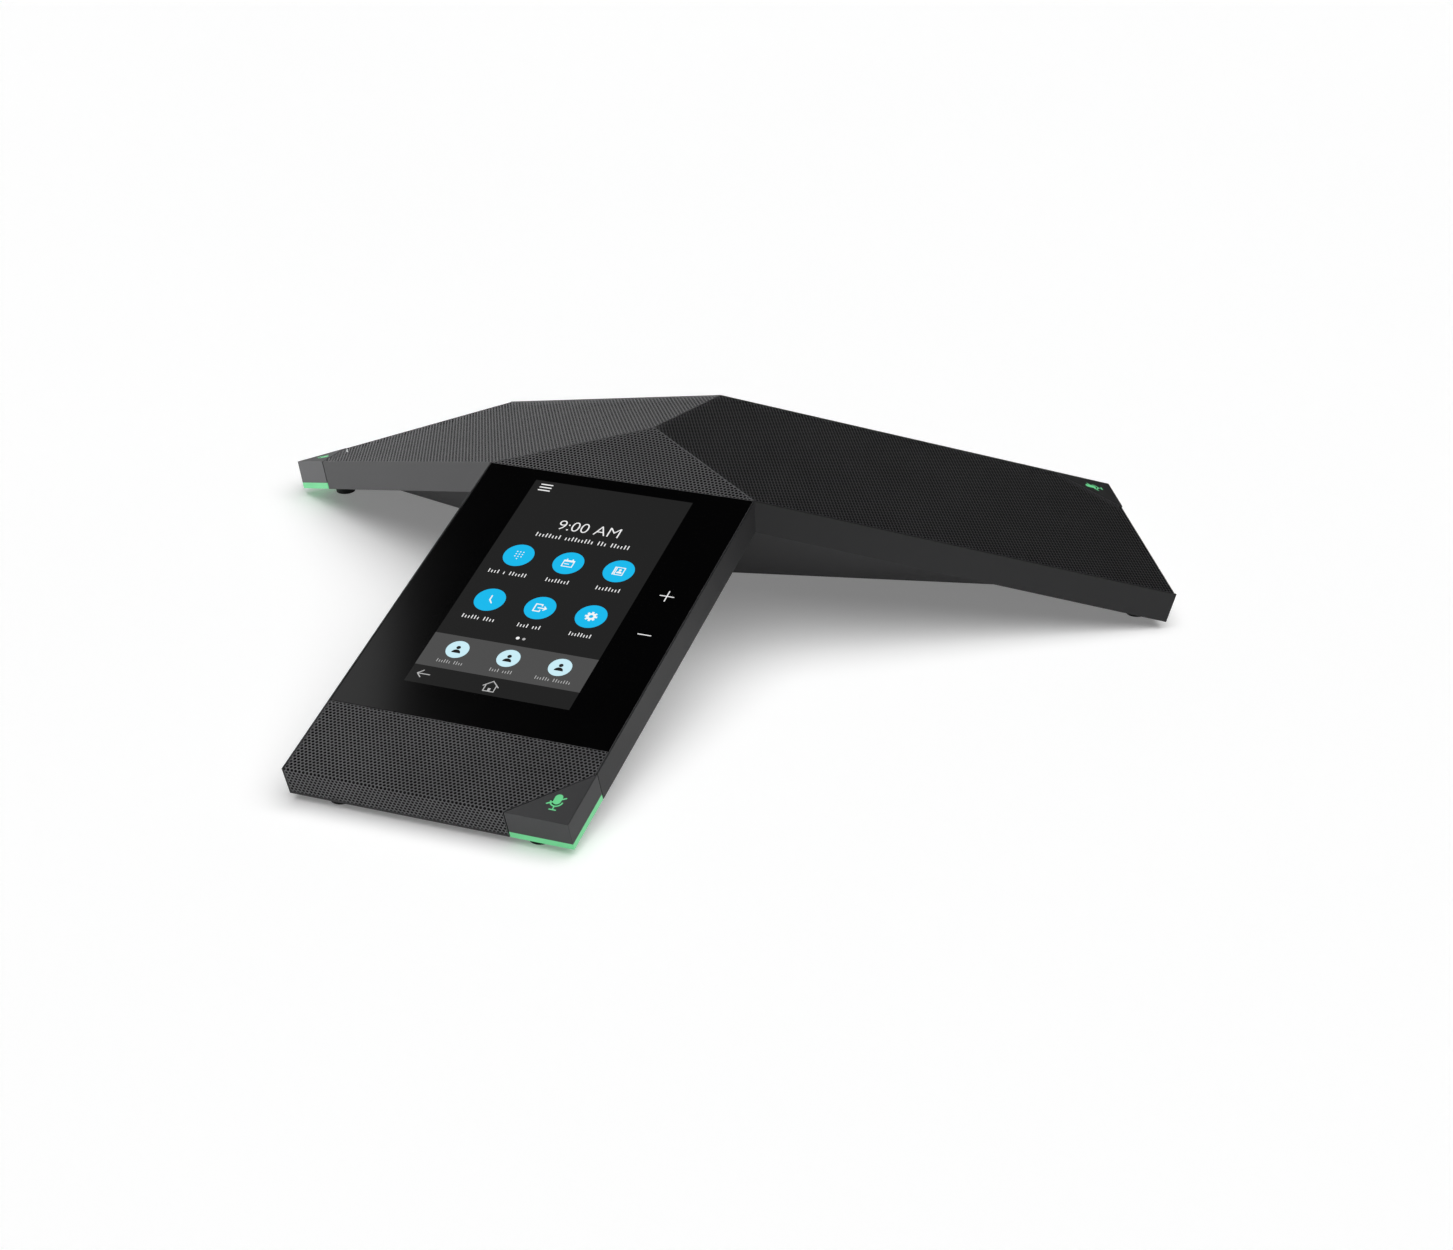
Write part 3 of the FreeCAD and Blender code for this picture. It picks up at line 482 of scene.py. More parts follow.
class PerforatedSheet:
    """A flat outline with a honeycomb of holes, then carried onto a surface."""

    def __init__(self, outline, close_up=True):
        """A sheet that is seen close up has rounder holes, with walls."""
        self.outline = outline
        self.walls = close_up
        sides = CLOSE_SIDES if close_up else FAR_SIDES
        angles = math.radians(30) + 2 * math.pi * np.arange(sides) / sides
        self.ring = sizes().hole_radius * np.column_stack([np.cos(angles), np.sin(angles)])

    def _spots(self):
        """Hole centres on a honeycomb over the outline's box."""
        pitch = sizes().hole_pitch
        row = pitch * math.sqrt(3) / 2
        xs, ys = zip(*self.outline)
        columns = np.arange(math.floor(min(xs) / pitch) - 1, math.ceil(max(xs) / pitch) + 1)
        rows = np.arange(math.floor(min(ys) / row), math.ceil(max(ys) / row) + 1)
        column, line = np.meshgrid(columns, rows)
        return np.column_stack([((column + line % 2 / 2) * pitch).ravel(), (line * row).ravel()])

    def _rims(self):
        """The rim of every hole, cut off along the sheet's edge where a hole would cross it."""
        s = sizes()
        spots = self._spots()
        gap = edge_gap(spots, self.outline)
        whole = gap > s.hole_radius + s.rim
        furthest_out = -0.5 * s.hole_radius
        partly = (gap > furthest_out) & ~whole
        rims = list(spots[whole][:, None] + self.ring)
        trimmed = [self._trimmed(spot) for spot in spots[partly]]
        return rims + [rim for rim in trimmed if len(rim) > 2]

    def _trimmed(self, spot):
        """A hole's rim kept a least web inside the outline's nearby edges."""
        s = sizes()
        rim = [tuple(p) for p in spot + self.ring]
        for (ax, ay), (bx, by) in zip(self.outline, self.outline[1:] + self.outline[:1]):
            length = math.hypot(bx - ax, by - ay)
            nx, ny = (ay - by) / length, (bx - ax) / length
            along = (spot[0] - ax) * ny - (spot[1] - ay) * nx
            if -s.hole_radius < along < length + s.hole_radius:
                rim = cut_back(rim, lambda p: (p[0] - ax) * nx + (p[1] - ay) * ny - s.rim)
        return np.array(rim)

    def build(self, carry):
        """Points and faces of the sheet with its cut edge, and the walls of its holes if it has them."""
        s = sizes()
        edge = np.array(divided(self.outline, s.hole_pitch / 2))
        loops = self._rims() + [edge]
        flat = np.vstack(loops)
        owner = np.repeat(np.arange(len(loops)), [len(loop) for loop in loops])
        sides, start = [], 0
        for loop in loops:
            sides += [(start + i, start + (i + 1) % len(loop)) for i in range(len(loop))]
            start += len(loop)
        merge_distance = s.hole_pitch * 1e-6
        inside_only = 1
        made = delaunay_2d_cdt([Vector(p) for p in flat], sides, [], inside_only, merge_distance)
        triangles, origin = made[2], [group[0] for group in made[3]]
        outer = len(loops) - 1
        faces = []
        for triangle in triangles:
            a, b, c = (origin[i] for i in triangle)
            in_a_hole = owner[a] == owner[b] == owner[c] != outer
            if not in_a_hole:
                faces.append((c, b, a))
        rims = len(flat) - len(edge)
        first = 0 if self.walls else rims
        below = len(flat) - first
        faces += [(a, a + below, b + below, b) for a, b in sides[first:rims]]
        faces += [(a, b, b + below, a + below) for a, b in sides[rims:]]
        depths = [s.hole_depth] * (rims - first) + [s.cut_edge] * len(edge)
        points = [carry(x, y, 0.0) for x, y in flat]
        points += [carry(x, y, depth) for (x, y), depth in zip(flat[first:], depths)]
        return points, faces


def cut_back(corners, height):
    """The part of a convex shape where a height that grows evenly isn't below zero."""
    kept = []
    for p, q in zip(corners, corners[1:] + corners[:1]):
        low, high = height(p), height(q)
        if low >= 0:
            kept.append(p)
        if (low < 0) != (high < 0):
            share = low / (low - high)
            kept.append((p[0] + (q[0] - p[0]) * share, p[1] + (q[1] - p[1]) * share))
    return kept


def over_the_end(matrix):
    """Carries a sheet's flat points down a leg's top and over its end: across, along, depth below."""
    bend = sizes().bend
    straight, fold = straight_run(), fold_run()

    def carry(across, along, depth):
        if along <= straight:
            spot = (across, -along, -depth)
        elif along <= straight + fold:
            turn = (along - straight) / bend
            radius = bend - depth
            spot = (across, -straight - radius * math.sin(turn), -bend + radius * math.cos(turn))
        else:
            spot = (across, -straight - bend + depth, -bend - (along - straight - fold))
        return matrix @ Vector(spot)

    return carry


def apex_edges():
    """The creases on both sides of the apex, laid flat."""
    s = sizes()
    shoulder = root_line() * s.cover_half / s.leg_half + s.crease_gap
    return [(-s.cover_half, shoulder), (0.0, s.crease_gap), (s.cover_half, shoulder)]


def skin_outline(leg):
    """A leg's grille laid flat: across and along from the apex."""
    s = sizes()
    half = s.cover_half
    mid_fold = straight_run() + fold_run() / 2
    end = straight_run() + fold_run() + flap_run()
    key_edge = s.leg_half - s.key_cut
    key_top = leg_length() - s.key_cut + (s.leg_half - half)
    tip = [(half, key_top), (key_edge, mid_fold), (key_edge, end), (-half, end)]
    if leg == "front":
        start = leg_length() - s.tip_grille
        return [(-half, start), (half, start)] + tip
    return apex_edges() + tip


def centre_outline():
    """The triangle between the apex and the glass."""
    half = sizes().cover_half
    return apex_edges() + [(half, root_line()), (-half, root_line())]


class PHONE_OT_grilles(bpy.types.Operator):
    """Perforated skins of the legs and the middle"""

    bl_idname = "phone.grilles"
    bl_label = "Grilles"

    def execute(self, context):
        paint = sheet_paint("satin_grille_paint", tuple(colours().paint))
        for leg in LEG_TURNS:
            sheet = PerforatedSheet(skin_outline(leg), close_up=leg == "front")
            self._add(f"{leg}_perforated_skin", sheet, leg, f"{leg}_grille", paint)
            self._end_cloth(leg)
        sheet = PerforatedSheet(centre_outline())
        self._add("centre_perforated_skin", sheet, "front", "centre_grille", paint)
        return {"FINISHED"}

    def _end_cloth(self, leg):
        """Block of black cloth close behind a skin's bend and the part that hangs over the leg's end."""
        s = sizes()
        carry = over_the_end(Matrix())
        straight, fold = straight_run(), fold_run()
        slack = 0.2 * MM
        steps = 4
        growth = (s.cloth_gap - s.hole_depth) / steps
        rows = [(straight + fold * i / steps, s.hole_depth + growth * i) for i in range(steps + 1)]
        rows.append((straight + fold + flap_run() - slack, s.cloth_gap))
        points = []
        for along, depth in rows:
            beside_key = s.leg_half - s.key_cut + max(0.0, straight + fold / 2 - along)
            for x in (s.cut_edge - s.cover_half, beside_key):
                front = carry(x, along, depth)
                points += [front, Vector((x, slack - straight, front.z))]
        last = len(points) - 4
        faces = [(0, 2, 3, 1), (last, last + 1, last + 3, last + 2)]
        for i in range(0, last, 4):
            faces += [(i, i + 4, i + 6, i + 2), (i + 1, i + 3, i + 7, i + 5)]
            faces += [(i, i + 1, i + 5, i + 4), (i + 2, i + 6, i + 7, i + 3)]
        points = [leg_matrix(leg) @ point for point in points]
        piece = mesh_piece(f"{leg}_end_cloth", points, faces, acoustic_cloth(f"{leg}_end_weave"))
        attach(piece, HOUSING)

    def _add(self, name, sheet, leg, node, paint):
        points, faces = sheet.build(over_the_end(leg_matrix(leg)))
        piece = mesh_piece(name, points, faces, paint)
        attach(piece, HOUSING)
        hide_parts(node)


class PHONE_OT_contacts(bpy.types.Operator):
    """Spring contacts in the network socket, and the USB socket's tongue with its contacts"""

    bl_idname = "phone.contacts"
    bl_label = "Socket contacts"

    def execute(self, context):
        gold = bright_metal("gold_plate", (0.83, 0.58, 0.24), rough=0.3)
        self._network(gold)
        self._usb(gold)
        return {"FINISHED"}

    def _network(self, gold):
        """Eight springs that lean down from the roof of the opening."""
        low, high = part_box("ethernet_jack")
        middle = (low.x + high.x) / 2
        roof = (low.z + high.z) / 2 + 4.1 * MM
        pitch, width = 1.02 * MM, 0.45 * MM
        springs = [(middle + (i - 3.5) * pitch, width) for i in range(8)]
        rear = (high.y - 2.5 * MM, roof)
        deep = (high.y - 11.0 * MM, roof - 3.0 * MM)
        self._strips("network_contacts", springs, rear, deep, gold)

    def _usb(self, gold):
        """A tongue in the opening, with four contacts under it."""
        low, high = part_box("usb_port")
        half_width, half_height = 5.5 * MM, 0.9 * MM
        middle = (low.x + high.x) / 2
        level = (low.z + high.z) / 2 + half_height
        across = (middle - half_width, middle + half_width)
        along = (high.y - 11.9 * MM, high.y - 1.2 * MM)
        tongue = box_corners(across, along, (level - half_height, level + half_height))
        pale = moulded_plastic("tongue_plastic", (0.5, 0.5, 0.48), grain=1500.0, rough=0.4, edge=0.15 * MM)
        self._add(mesh_piece("usb_tongue", tongue, BOX_FACES, pale))
        width = 1.0 * MM
        strips = [(middle + x * MM, width) for x in (-3.5, -1.2, 1.2, 3.5)]
        under = level - 1.05 * MM
        rear, deep = (high.y - 1.8 * MM, under), (high.y - 10.0 * MM, under)
        self._strips("usb_contacts", strips, rear, deep, gold)

    def _strips(self, name, places, rear, deep, finish):
        """Thin strips at several places across, each from a rear spot to a deep one, along and up."""
        thick = 0.2 * MM
        points, faces = [], []
        for x, width in places:
            first = len(points)
            for along, up in (rear, deep):
                for side, lift in ((-1, 0), (1, 0), (1, 1), (-1, 1)):
                    points.append((x + side * width / 2, along, up + lift * thick))
            faces += [tuple(first + i for i in face) for face in BOX_FACES]
        self._add(mesh_piece(name, points, faces, finish))

    def _add(self, piece):
        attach(piece, HOUSING)


class FlatArt:
    """Flat shapes on a leg's top, in millimetres across and up the slope from the apex."""

    def __init__(self, matrix, layer):
        self.matrix = matrix
        self.lift = layer * sizes().art_lift
        self.points, self.faces = [], []

    def _spot(self, x, y):
        self.points.append(self.matrix @ Vector((x * MM, y * MM, self.lift)))
        return len(self.points) - 1

    def shape(self, corners):
        self.faces.append(tuple(self._spot(x, y) for x, y in corners))

    def disc(self, x, y, radius, count=40):
        self.shape([(x + radius * math.cos(a), y + radius * math.sin(a)) for a in turns(count)])

    def ring(self, x, y, outer, inner, start=0, stop=360, count=36):
        """A ring, or part of one between two angles."""
        angles = [math.radians(start + (stop - start) * i / count) for i in range(count + 1)]
        for a, b in zip(angles, angles[1:]):
            corners = ((inner, a), (outer, a), (outer, b), (inner, b))
            self.shape([(x + r * math.cos(t), y + r * math.sin(t)) for r, t in corners])

    def bar(self, x, y, width, height, angle=0, round_ends=True):
        """A bar about its middle, with round or square ends."""
        turn = math.radians(angle)
        half = max(0.0, width / 2 - (height / 2 if round_ends else 0))
        corners = []
        if round_ends:
            for side in (1, -1):
                for i in range(9):
                    a = math.pi * i / 8 - math.pi / 2
                    out, up = half + height / 2 * math.cos(a), height / 2 * math.sin(a)
                    corners.append((side * out, side * up))
        else:
            corners = [(half, -height / 2), (half, height / 2), (-half, height / 2), (-half, -height / 2)]
        self.shape([
            (x + px * math.cos(turn) - py * math.sin(turn), y + px * math.sin(turn) + py * math.cos(turn))
            for px, py in corners
        ])

    def stroke(self, start, end, width):
        """A round-ended line between two points."""
        (ax, ay), (bx, by) = start, end
        length = math.hypot(bx - ax, by - ay)
        angle = math.degrees(math.atan2(by - ay, bx - ax))
        self.bar((ax + bx) / 2, (ay + by) / 2, length + width, width, angle)

    def path(self, corners, width):
        """Round-ended lines from corner to corner."""
        for start, end in zip(corners, corners[1:]):
            self.stroke(start, end, width)

    def caption(self, x, y, width, height, breaks=()):
        """Small blocks that stand for words, with none at the breaks."""
        short = 0.68 * height
        count = round(width / (0.62 * height))
        step = width / count
        for i in range(count):
            if i not in breaks:
                tall = height if i % 4 in (0, 3) else short
                middle = x - width / 2 + (i + 0.5) * step
                self.bar(middle, y - (height - tall) / 2, 0.3 * step, tall, round_ends=False)

    def piece(self, name, material, body, slot):
        made = mesh_piece(name, self.points, self.faces, material)
        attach(made, body)
        return made


def turns(count):
    """Evenly spaced angles of a whole turn."""
    return [2 * math.pi * i / count for i in range(count)]


# Places and sizes of the screen's drawings, in millimetres across and up the slope from the apex.
TILE_COLUMNS = (-20.0, 0.0, 20.0)
TILE_ROWS = (-79.6, -104.1)
LABEL_ROWS = (-89.4, -113.8)
PALE_ROW = -130.7
CAPTION_ROW = -137.2
PAGE_ROW = -120.4
SCREEN_HALF = 31.9
SCREEN_TOP, SCREEN_LOW = -38.5, -149.4
BAND_TOP, BAND_LOW = -124.1, -140.7
TILE_RADIUS, PALE_RADIUS = 5.85, 4.3
DRAWING_SIZE, PERSON_SIZE = 2.5, 2.3
LABEL_HEIGHT, CAPTION_HEIGHT, DATE_HEIGHT = 1.9, 1.6, 2.1
CLOCK_HEIGHT = 7.4
PAGE_DOT_OFFSET = 1.2
MENU_COLUMN = -26.4
MENU_ROWS = (-40.5, -42.1, -43.7)
CLOCK_ROW = -60.8
DATE_ROW = -67.1
BACK_ROW = -144.9
VOLUME_COLUMN = 42.5
PLUS_ROW, MINUS_ROW = -88.2, -108.6
FINE_LINE = 0.4

# Layers of the lit screen, counted up from the glass.
GROUND_LAYER, BAND_LAYER, TILE_LAYER, MARK_LAYER = 1, 2, 3, 4


def screen_rect(art, top, low):
    """A rectangle as wide as the lit screen."""
    art.shape([(-SCREEN_HALF, low), (SCREEN_HALF, low), (SCREEN_HALF, top), (-SCREEN_HALF, top)])


def person_mark(art, x, y, size):
    """A head over round shoulders."""
    wide, tall = 0.75 * size, 0.72 * size
    art.disc(x, y + 0.42 * size, 0.36 * size, 24)
    art.shape([(x + wide * math.cos(a), y - wide + tall * math.sin(a)) for a in half_turn()])


def half_turn():
    """Evenly spaced angles of half a turn."""
    return [math.pi * i / 16 for i in range(17)]


def dial_mark(art, x, y, size):
    """Dots in three columns, with one below the rest."""
    for column in (-0.5, 0.0, 0.5):
        for row in (-0.75, -0.25, 0.25, 0.75):
            if row > -0.5 or column == 0.0:
                art.disc(x + column * size, y + row * size, 0.11 * size, 12)


def frame_mark(art, x, y, half_width, half_height, line):
    """The outline of a box."""
    signs = ((-1, -1), (1, -1), (1, 1), (-1, 1), (-1, -1))
    art.path([(x + i * half_width, y + j * half_height) for i, j in signs], line)


def calendar_mark(art, x, y, size):
    """A framed page with a bold top and two rings."""
    frame_mark(art, x, y - 0.1 * size, 0.8 * size, 0.65 * size, 0.16 * size)
    art.bar(x, y + 0.45 * size, 1.6 * size, 0.36 * size, round_ends=False)
    for side in (-0.45, 0.45):
        art.bar(x + side * size, y + 0.72 * size, 0.4 * size, 0.2 * size, 90)
    art.bar(x - 0.2 * size, y - 0.2 * size, 0.8 * size, 0.16 * size)


def contact_mark(art, x, y, size):
    """A book with a person on its cover."""
    art.bar(x - 0.72 * size, y, 1.7 * size, 0.2 * size, 90, round_ends=False)
    frame_mark(art, x + 0.15 * size, y, 0.62 * size, 0.77 * size, 0.16 * size)
    person_mark(art, x + 0.15 * size, y, 0.6 * size)


def clock_mark(art, x, y, size):
    """Two clock hands."""
    art.path([(x, y + 0.85 * size), (x, y), (x + 0.5 * size, y - 0.6 * size)], 0.2 * size)


def leave_mark(art, x, y, size):
    """An open frame with an arrow out of it."""
    line = 0.2 * size
    left, right = x - 0.85 * size, x + 0.15 * size
    top, low = y + 0.72 * size, y - 0.72 * size
    gap, wing = 0.45 * size, 0.35 * size
    bracket = [(right, y + gap), (right, top), (left, top), (left, low), (right, low), (right, y - gap)]
    art.path(bracket, line)
    barb, tip = x + 0.6 * size, x + 0.95 * size
    art.stroke((x - 0.3 * size, y), (tip, y), line)
    art.path([(barb, y + wing), (tip, y), (barb, y - wing)], line)


def gear_mark(art, x, y, size):
    """A ring with eight teeth."""
    reach = 0.76 * size
    art.ring(x, y, 0.68 * size, 0.32 * size)
    for a in turns(8):
        tooth = (x + reach * math.cos(a), y + reach * math.sin(a))
        art.bar(*tooth, 0.36 * size, 0.34 * size, math.degrees(a), round_ends=False)


class PHONE_OT_screen(bpy.types.Operator):
    """Lit screen on the glass: clock, tiles, plain bars for words and touch marks"""

    bl_idname = "phone.screen"
    bl_label = "Screen"

    def execute(self, context):
        matrix = leg_matrix("front")
        ground, band = FlatArt(matrix, GROUND_LAYER), FlatArt(matrix, BAND_LAYER)
        tiles, pale = FlatArt(matrix, TILE_LAYER), FlatArt(matrix, TILE_LAYER)
        marks, ink, dim = (FlatArt(matrix, MARK_LAYER) for _ in range(3))
        screen_rect(ground, SCREEN_TOP, SCREEN_LOW)
        screen_rect(band, BAND_TOP, BAND_LOW)
        self._tiles(tiles, marks)
        self._pale_row(pale, ink, dim)
        dim.disc(PAGE_DOT_OFFSET, PAGE_ROW, 0.6, 16)
        self._top_and_bottom(marks, dim)
        tone = colours()
        looks = (
            ("screen_ground", ground, "lit_ground", tone.screen, 1.0),
            ("screen_band", band, "lit_band", tone.band, 1.0),
            ("screen_tiles", tiles, "lit_tiles", tone.tile, 1.0),
            ("screen_pale_tiles", pale, "lit_pale_tiles", tone.pale, 1.0),
            ("screen_marks", marks, "lit_marks", tone.mark, 1.0),
            ("screen_tile_ink", ink, "lit_ink", tone.screen, 1.0),
            ("screen_dim_marks", dim, "lit_dim_marks", tone.mark, 0.5),
        )
        for name, art, finish, colour, strength in looks:
            art.piece(name, lit_print(finish, tuple(colour), strength), HOUSING, "display")
        self._clock(matrix)
        return {"FINISHED"}

    def _tiles(self, tiles, marks):
        """Blue tiles with a drawing each, their captions, and the first page dot."""
        drawings = (dial_mark, calendar_mark, contact_mark, clock_mark, leave_mark, gear_mark)
        spots = [(x, y) for y in TILE_ROWS for x in TILE_COLUMNS]
        for (x, y), draw in zip(spots, drawings):
            tiles.disc(x, y, TILE_RADIUS)
            draw(marks, x, y, DRAWING_SIZE)
        captions = (
            ((15.7, (4, 6)), (9.7, ()), (10.0, ())),
            ((13.3, (6,)), (9.5, (4,)), (9.0, ())),
        )
        for y, row in zip(LABEL_ROWS, captions):
            for x, (width, breaks) in zip(TILE_COLUMNS, row):
                marks.caption(x, y, width, LABEL_HEIGHT, breaks)
        marks.disc(-PAGE_DOT_OFFSET, PAGE_ROW, 0.7, 16)

    def _pale_row(self, pale, ink, band_marks):
        """Pale tiles on the band, each a person with a caption."""
        for x, width, breaks in zip(TILE_COLUMNS, (10.5, 9.0, 14.0), ((6,), (4,), (6,))):
            pale.disc(x, PALE_ROW, PALE_RADIUS)
            person_mark(ink, x, PALE_ROW, PERSON_SIZE)
            band_marks.caption(x, CAPTION_ROW, width, CAPTION_HEIGHT, breaks)

    def _top_and_bottom(self, marks, dim):
        """Menu bars and date above the tiles, back and home marks below, volume marks beside."""
        for row in MENU_ROWS:
            marks.bar(MENU_COLUMN, row, 5.0, 0.55)
        marks.caption(0.0, DATE_ROW, 38.0, DATE_HEIGHT, (8, 18, 22))
        dim.stroke((-28.8, BACK_ROW), (-24.0, BACK_ROW), FINE_LINE)
        dim.path([(-27.0, BACK_ROW + 1.7), (-28.8, BACK_ROW), (-27.0, BACK_ROW - 1.7)], FINE_LINE)
        dim.path([(-2.9, -145.2), (0.0, -142.6), (2.9, -145.2)], FINE_LINE)
        dim.path([(-2.0, -144.8), (-2.0, -147.6), (2.0, -147.6), (2.0, -144.8)], FINE_LINE)
        dim.bar(0.0, -146.8, 1.5, 1.0, 90, round_ends=False)
        marks.bar(VOLUME_COLUMN, PLUS_ROW, 5.6, FINE_LINE)
        marks.bar(VOLUME_COLUMN, PLUS_ROW, 5.6, FINE_LINE, 90)
        marks.bar(VOLUME_COLUMN, MINUS_ROW, 5.3, FINE_LINE)

    def _clock(self, matrix):
        """The time in plain digits, as a flat mesh."""
        curve = bpy.data.curves.new("screen_clock", "FONT")
        curve.body = "9:00 AM"
        curve.size = CLOCK_HEIGHT * MM
        curve.offset = -0.1 * MM
        curve.align_x, curve.align_y = "CENTER", "CENTER"
        text = bpy.data.objects.new("screen_clock_curve", curve)
        link(text)
        bpy.context.view_layer.update()
        mesh = bpy.data.meshes.new_from_object(text)
        bpy.data.objects.remove(text)
        lift = MARK_LAYER * sizes().art_lift
        mesh.transform(matrix @ Matrix.Translation((0, CLOCK_ROW * MM, lift)))
        mesh.materials.clear()
        mesh.materials.append(lit_print("lit_clock", tuple(colours().mark), 1.0))
        clock = link(bpy.data.objects.new("screen_clock", mesh))
        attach(clock, HOUSING)


class PHONE_OT_mute_symbols(bpy.types.Operator):
    """Lit microphone symbol on each mute key"""

    bl_idname = "phone.mute_symbols"
    bl_label = "Mute symbols"

    def execute(self, context):
        glow = light_guide("lit_mute_symbol", tuple(colours().lamp), strength=0.9)
        from_side, from_tip = 8.1, 8.5
        for leg in LEG_TURNS:
            art = FlatArt(leg_matrix(leg), GROUND_LAYER)
            x = sizes().leg_half / MM - from_side
            y = from_tip - leg_length() / MM
            art.bar(x, y + 1.4, 4.6, 2.8, 90)
            art.ring(x, y + 0.4, 2.4, 1.85, 180, 360, 18)
            art.bar(x, y - 2.4, 1.6, 0.5, 90)
            art.bar(x, y - 3.35, 2.8, 0.5)
            art.stroke((x - 3.0, y - 1.1), (x + 2.6, y + 2.4), 0.6)
            symbol = art.piece(f"mute_symbol_{leg}", glow, f"{leg}_mute_key", "light")
            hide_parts(f"mute_lens_{leg}")
        return {"FINISHED"}


class PHONE_OT_finishes(bpy.types.Operator):
    """Materials of the pieces that keep their solid shape"""

    bl_idname = "phone.finishes"
    bl_label = "Finishes"

    def execute(self, context):
        tone = colours()
        plastic = tuple(tone.plastic)
        slots = {
            "housing": moulded_plastic("charcoal_plastic", plastic),
            "grille": sheet_paint("grille_edge_paint", tuple(tone.paint)),
            "cloth": acoustic_cloth("black_acoustic_cloth"),
            "glass": touch_glass("black_touch_glass", tuple(tone.glass)),
            "display": moulded_plastic("display_case", (0.02, 0.02, 0.02)),
            "key": moulded_plastic("key_plastic", scaled(plastic, 2.0)),
            "light": light_guide("green_light_guide", tuple(tone.lamp), strength=0.78),
            "basket": moulded_plastic("black_pressed_steel", (0.02, 0.02, 0.02), grain=900.0, rough=0.4),
            "magnet": bright_metal("dull_magnet", (0.2, 0.2, 0.21), rough=0.5),
            "cone": moulded_plastic("pressed_fibre", (0.02, 0.02, 0.021), grain=700.0, rough=0.8),
            "rubber": soft_rubber("black_rubber"),
            "jack_metal": bright_metal("plated_shield", (0.62, 0.62, 0.6), rough=0.3),
            "jack_plastic": moulded_plastic(
                "black_jack_plastic", (0.012, 0.012, 0.012), grain=1500.0, rough=0.35),
            "circuit_board": circuit_resist("green_resist"),
            "steel": bright_metal("zinc_plate", (0.55, 0.55, 0.56), rough=0.35),
            "mic_metal": bright_metal("bare_can", (0.65, 0.65, 0.66), rough=0.3),
        }
        for entry in frame["record"]["subparts"]:
            data = NODES[entry["node"]].data
            data.materials.clear()
            data.materials.append(slots[entry["material_slot"]])
        return {"FINISHED"}


# The camera's spot and axes, from a fit to points of the photo.
CAMERA_SPOT = (0.42847, -0.87408, 0.4709)
CAMERA_RIGHT = (0.91777, 0.39629, -0.02537)
CAMERA_UP = (-0.15154, 0.40856, 0.90006)
CAMERA_BACK = (0.36705, -0.82221, 0.43502)
CAMERA_LENS = 70.2


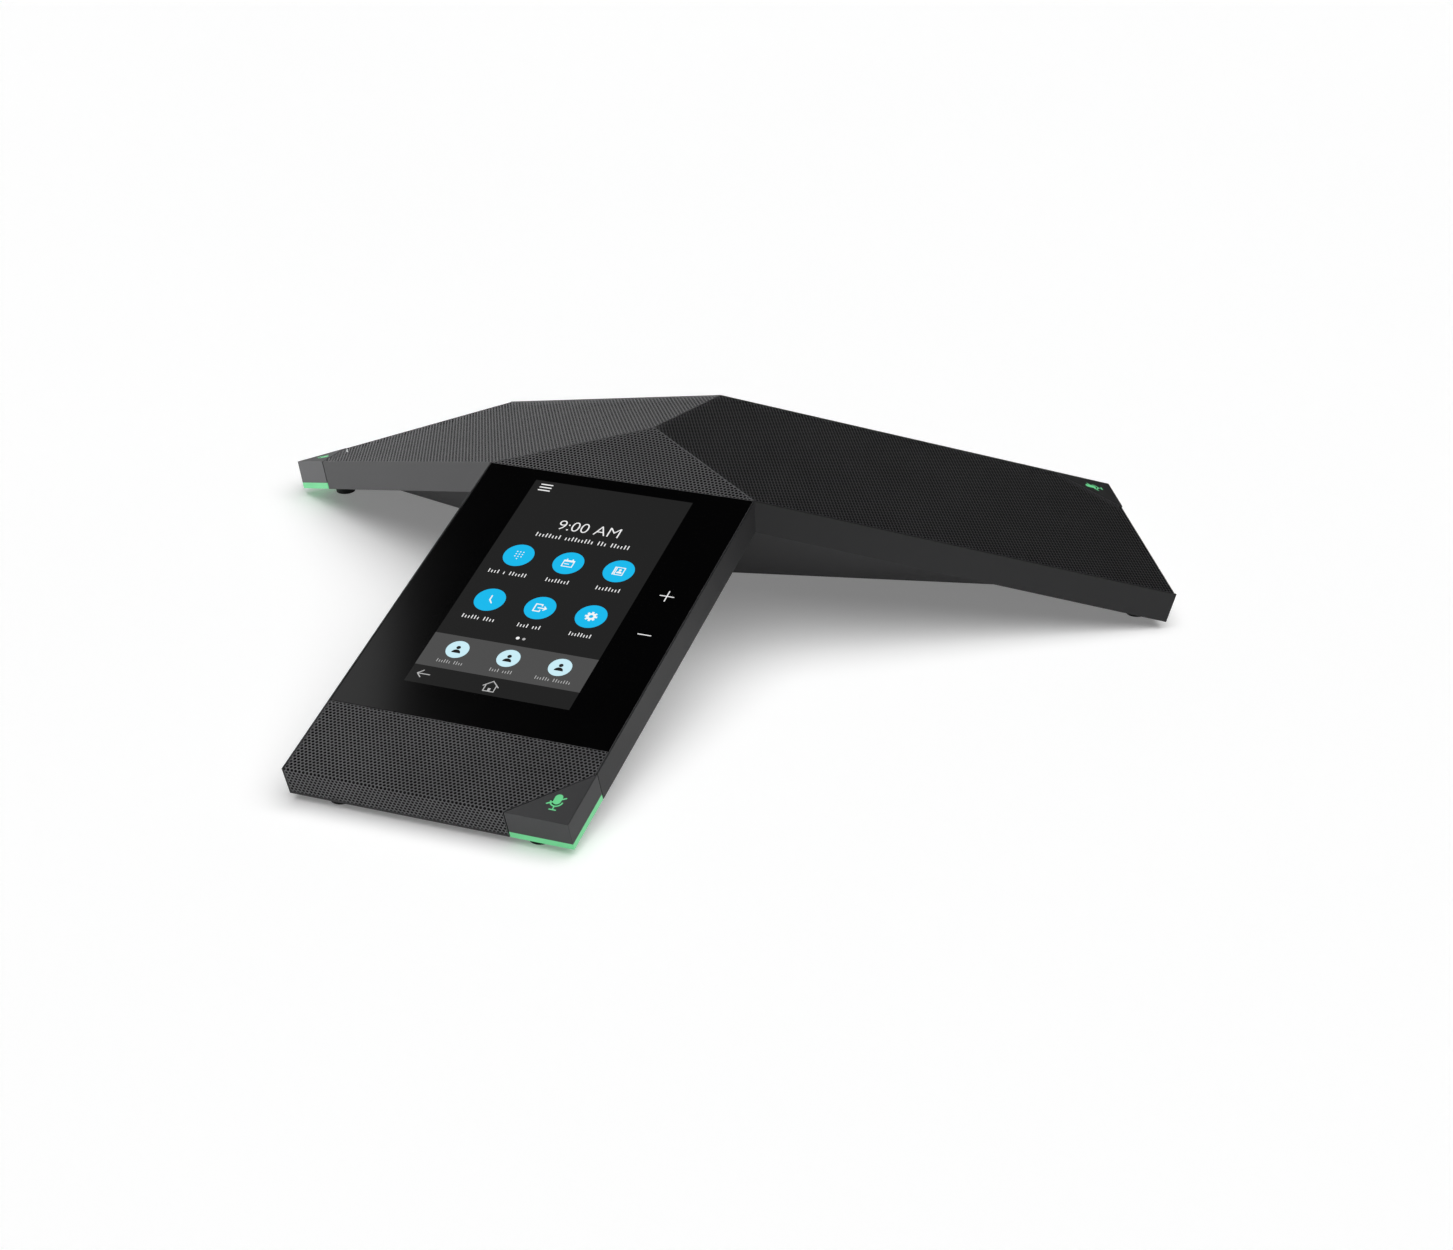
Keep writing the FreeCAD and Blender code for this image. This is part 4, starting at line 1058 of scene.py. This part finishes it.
class PHONE_OT_stage(bpy.types.Operator):
    """Pale floor, soft lights and the camera"""

    bl_idname = "phone.stage"
    bl_label = "Stage"

    def execute(self, context):
        floor = self._floor()
        self._world(context.scene)
        self._area("soft_left", floor, spot=(-0.85, -0.2, 0.36), size=0.9, watts=12.5)
        self._area("soft_side", floor, spot=(-1.44, 0.4, 1.32), size=1.25, watts=3.2)
        self._far("soft_top", floor, towards=(0.3, -0.15, 0.94), strength=0.92, spread=75.0)
        self._camera(context.scene)
        context.scene.view_settings.view_transform = "Standard"
        return {"FINISHED"}

    def _floor(self):
        """A wide pale sheet that looks a little brighter than it is lit and keeps its shadow."""
        f = Finish("pale_floor")
        rays = ("Is Camera Ray", "Is Glossy Ray", "Is Transmission Ray")
        camera, glossy, through = (f.node("ShaderNodeLightPath", output=name) for name in rays)
        seen = camera + glossy + through
        mottle = f.noise(3.0)
        base = tuple(colours().floor)
        paper = f.node("ShaderNodeBsdfDiffuse", None, {"Color": f.shades(mottle, scaled(base, 0.99), base)})
        glow, white = 0.2, (1.0, 1.0, 1.0, 1.0)
        lift = f.node("ShaderNodeEmission", None, {"Color": white, "Strength": seen * glow})
        both = f.node("ShaderNodeAddShader", None, {0: paper, 1: lift})
        f.node("ShaderNodeOutputMaterial", None, {"Surface": both})
        reach = 20.0
        corners = [(-reach, -reach, 0), (reach, -reach, 0), (reach, reach, 0), (-reach, reach, 0)]
        floor = mesh_piece("pale_floor", corners, [(0, 1, 2, 3)], f.material)
        return floor

    def _world(self, scene):
        """A sky that is bright at the horizon and dark above."""
        world = bpy.data.worlds.new("studio")
        scene.world = world
        f = Finish("studio", world)
        direction = f.node("ShaderNodeTexCoord", output="Generated")
        height = f.node("ShaderNodeSeparateXYZ", None, {0: direction}, output="Z")
        stops = [(place, (grey,) * 3) for place, grey in ((0.0, 0.7), (0.06, 0.3), (0.2, 0.01))]
        light = f.node("ShaderNodeValToRGB", {"stops": stops}, {0: height})
        sky = f.node("ShaderNodeBackground", None, {"Color": light, "Strength": 1.0})
        f.node("ShaderNodeOutputWorld", None, {"Surface": sky})

    def _area(self, name, floor, spot, size, watts):
        """A round soft lamp near the phone, which lights all but the floor."""
        lamp = bpy.data.lights.new(name, "AREA")
        lamp.shape = "DISK"
        lamp.size = size
        lamp.energy = watts
        self._aim(name, lamp, spot, floor, "EXCLUDE").location = spot

    def _far(self, name, floor, towards, strength, spread):
        """A soft lamp far off in a direction, which lights the floor alone."""
        lamp = bpy.data.lights.new(name, "SUN")
        lamp.energy = strength * math.pi
        lamp.angle = math.radians(spread)
        self._aim(name, lamp, towards, floor, "INCLUDE")

    def _aim(self, name, lamp, towards, floor, use):
        """The lamp's object, turned to shine from a direction, with the floor linked to it or left out."""
        obj = link(bpy.data.objects.new(name, lamp))
        obj.rotation_euler = Vector(towards).to_track_quat("Z", "Y").to_euler()
        lit = bpy.data.collections.new(f"{name}_floor")
        lit.objects.link(floor)
        lit.collection_objects[0].light_linking.link_state = use
        obj.light_linking.receiver_collection = lit
        return obj

    def _camera(self, scene):
        data = bpy.data.cameras.new("photo_view")
        data.lens = CAMERA_LENS
        data.sensor_fit = "HORIZONTAL"
        data.sensor_width = 36.0
        camera = link(bpy.data.objects.new("photo_view", data))
        turn = Matrix((CAMERA_RIGHT, CAMERA_UP, CAMERA_BACK)).transposed().to_4x4()
        camera.matrix_world = Matrix.Translation(CAMERA_SPOT) @ turn
        scene.camera = camera


class PHONE_PT_panel(bpy.types.Panel):
    """Buttons for every group of pieces"""

    bl_idname = "PHONE_PT_panel"
    bl_label = "Conference phone"
    bl_space_type = "VIEW_3D"
    bl_region_type = "UI"
    bl_category = "Phone"

    def draw(self, context):
        for operator in OPERATORS:
            self.layout.operator(operator.bl_idname)


OPERATORS = (
    PHONE_OT_finishes,
    PHONE_OT_grilles,
    PHONE_OT_contacts,
    PHONE_OT_screen,
    PHONE_OT_mute_symbols,
    PHONE_OT_stage,
)
CLASSES = (PhoneSizes, PhoneColours, *OPERATORS, PHONE_PT_panel)


def register():
    for cls in CLASSES:
        bpy.utils.register_class(cls)
    bpy.types.Scene.phone_sizes = bpy.props.PointerProperty(type=PhoneSizes)
    bpy.types.Scene.phone_colours = bpy.props.PointerProperty(type=PhoneColours)


def unregister():
    del bpy.types.Scene.phone_colours
    del bpy.types.Scene.phone_sizes
    for cls in reversed(CLASSES):
        bpy.utils.unregister_class(cls)


def main():
    register()
    bpy.ops.phone.finishes()
    bpy.ops.phone.grilles()
    bpy.ops.phone.contacts()
    bpy.ops.phone.screen()
    bpy.ops.phone.mute_symbols()
    bpy.ops.phone.stage()


if __name__ == "__main__":
    main()
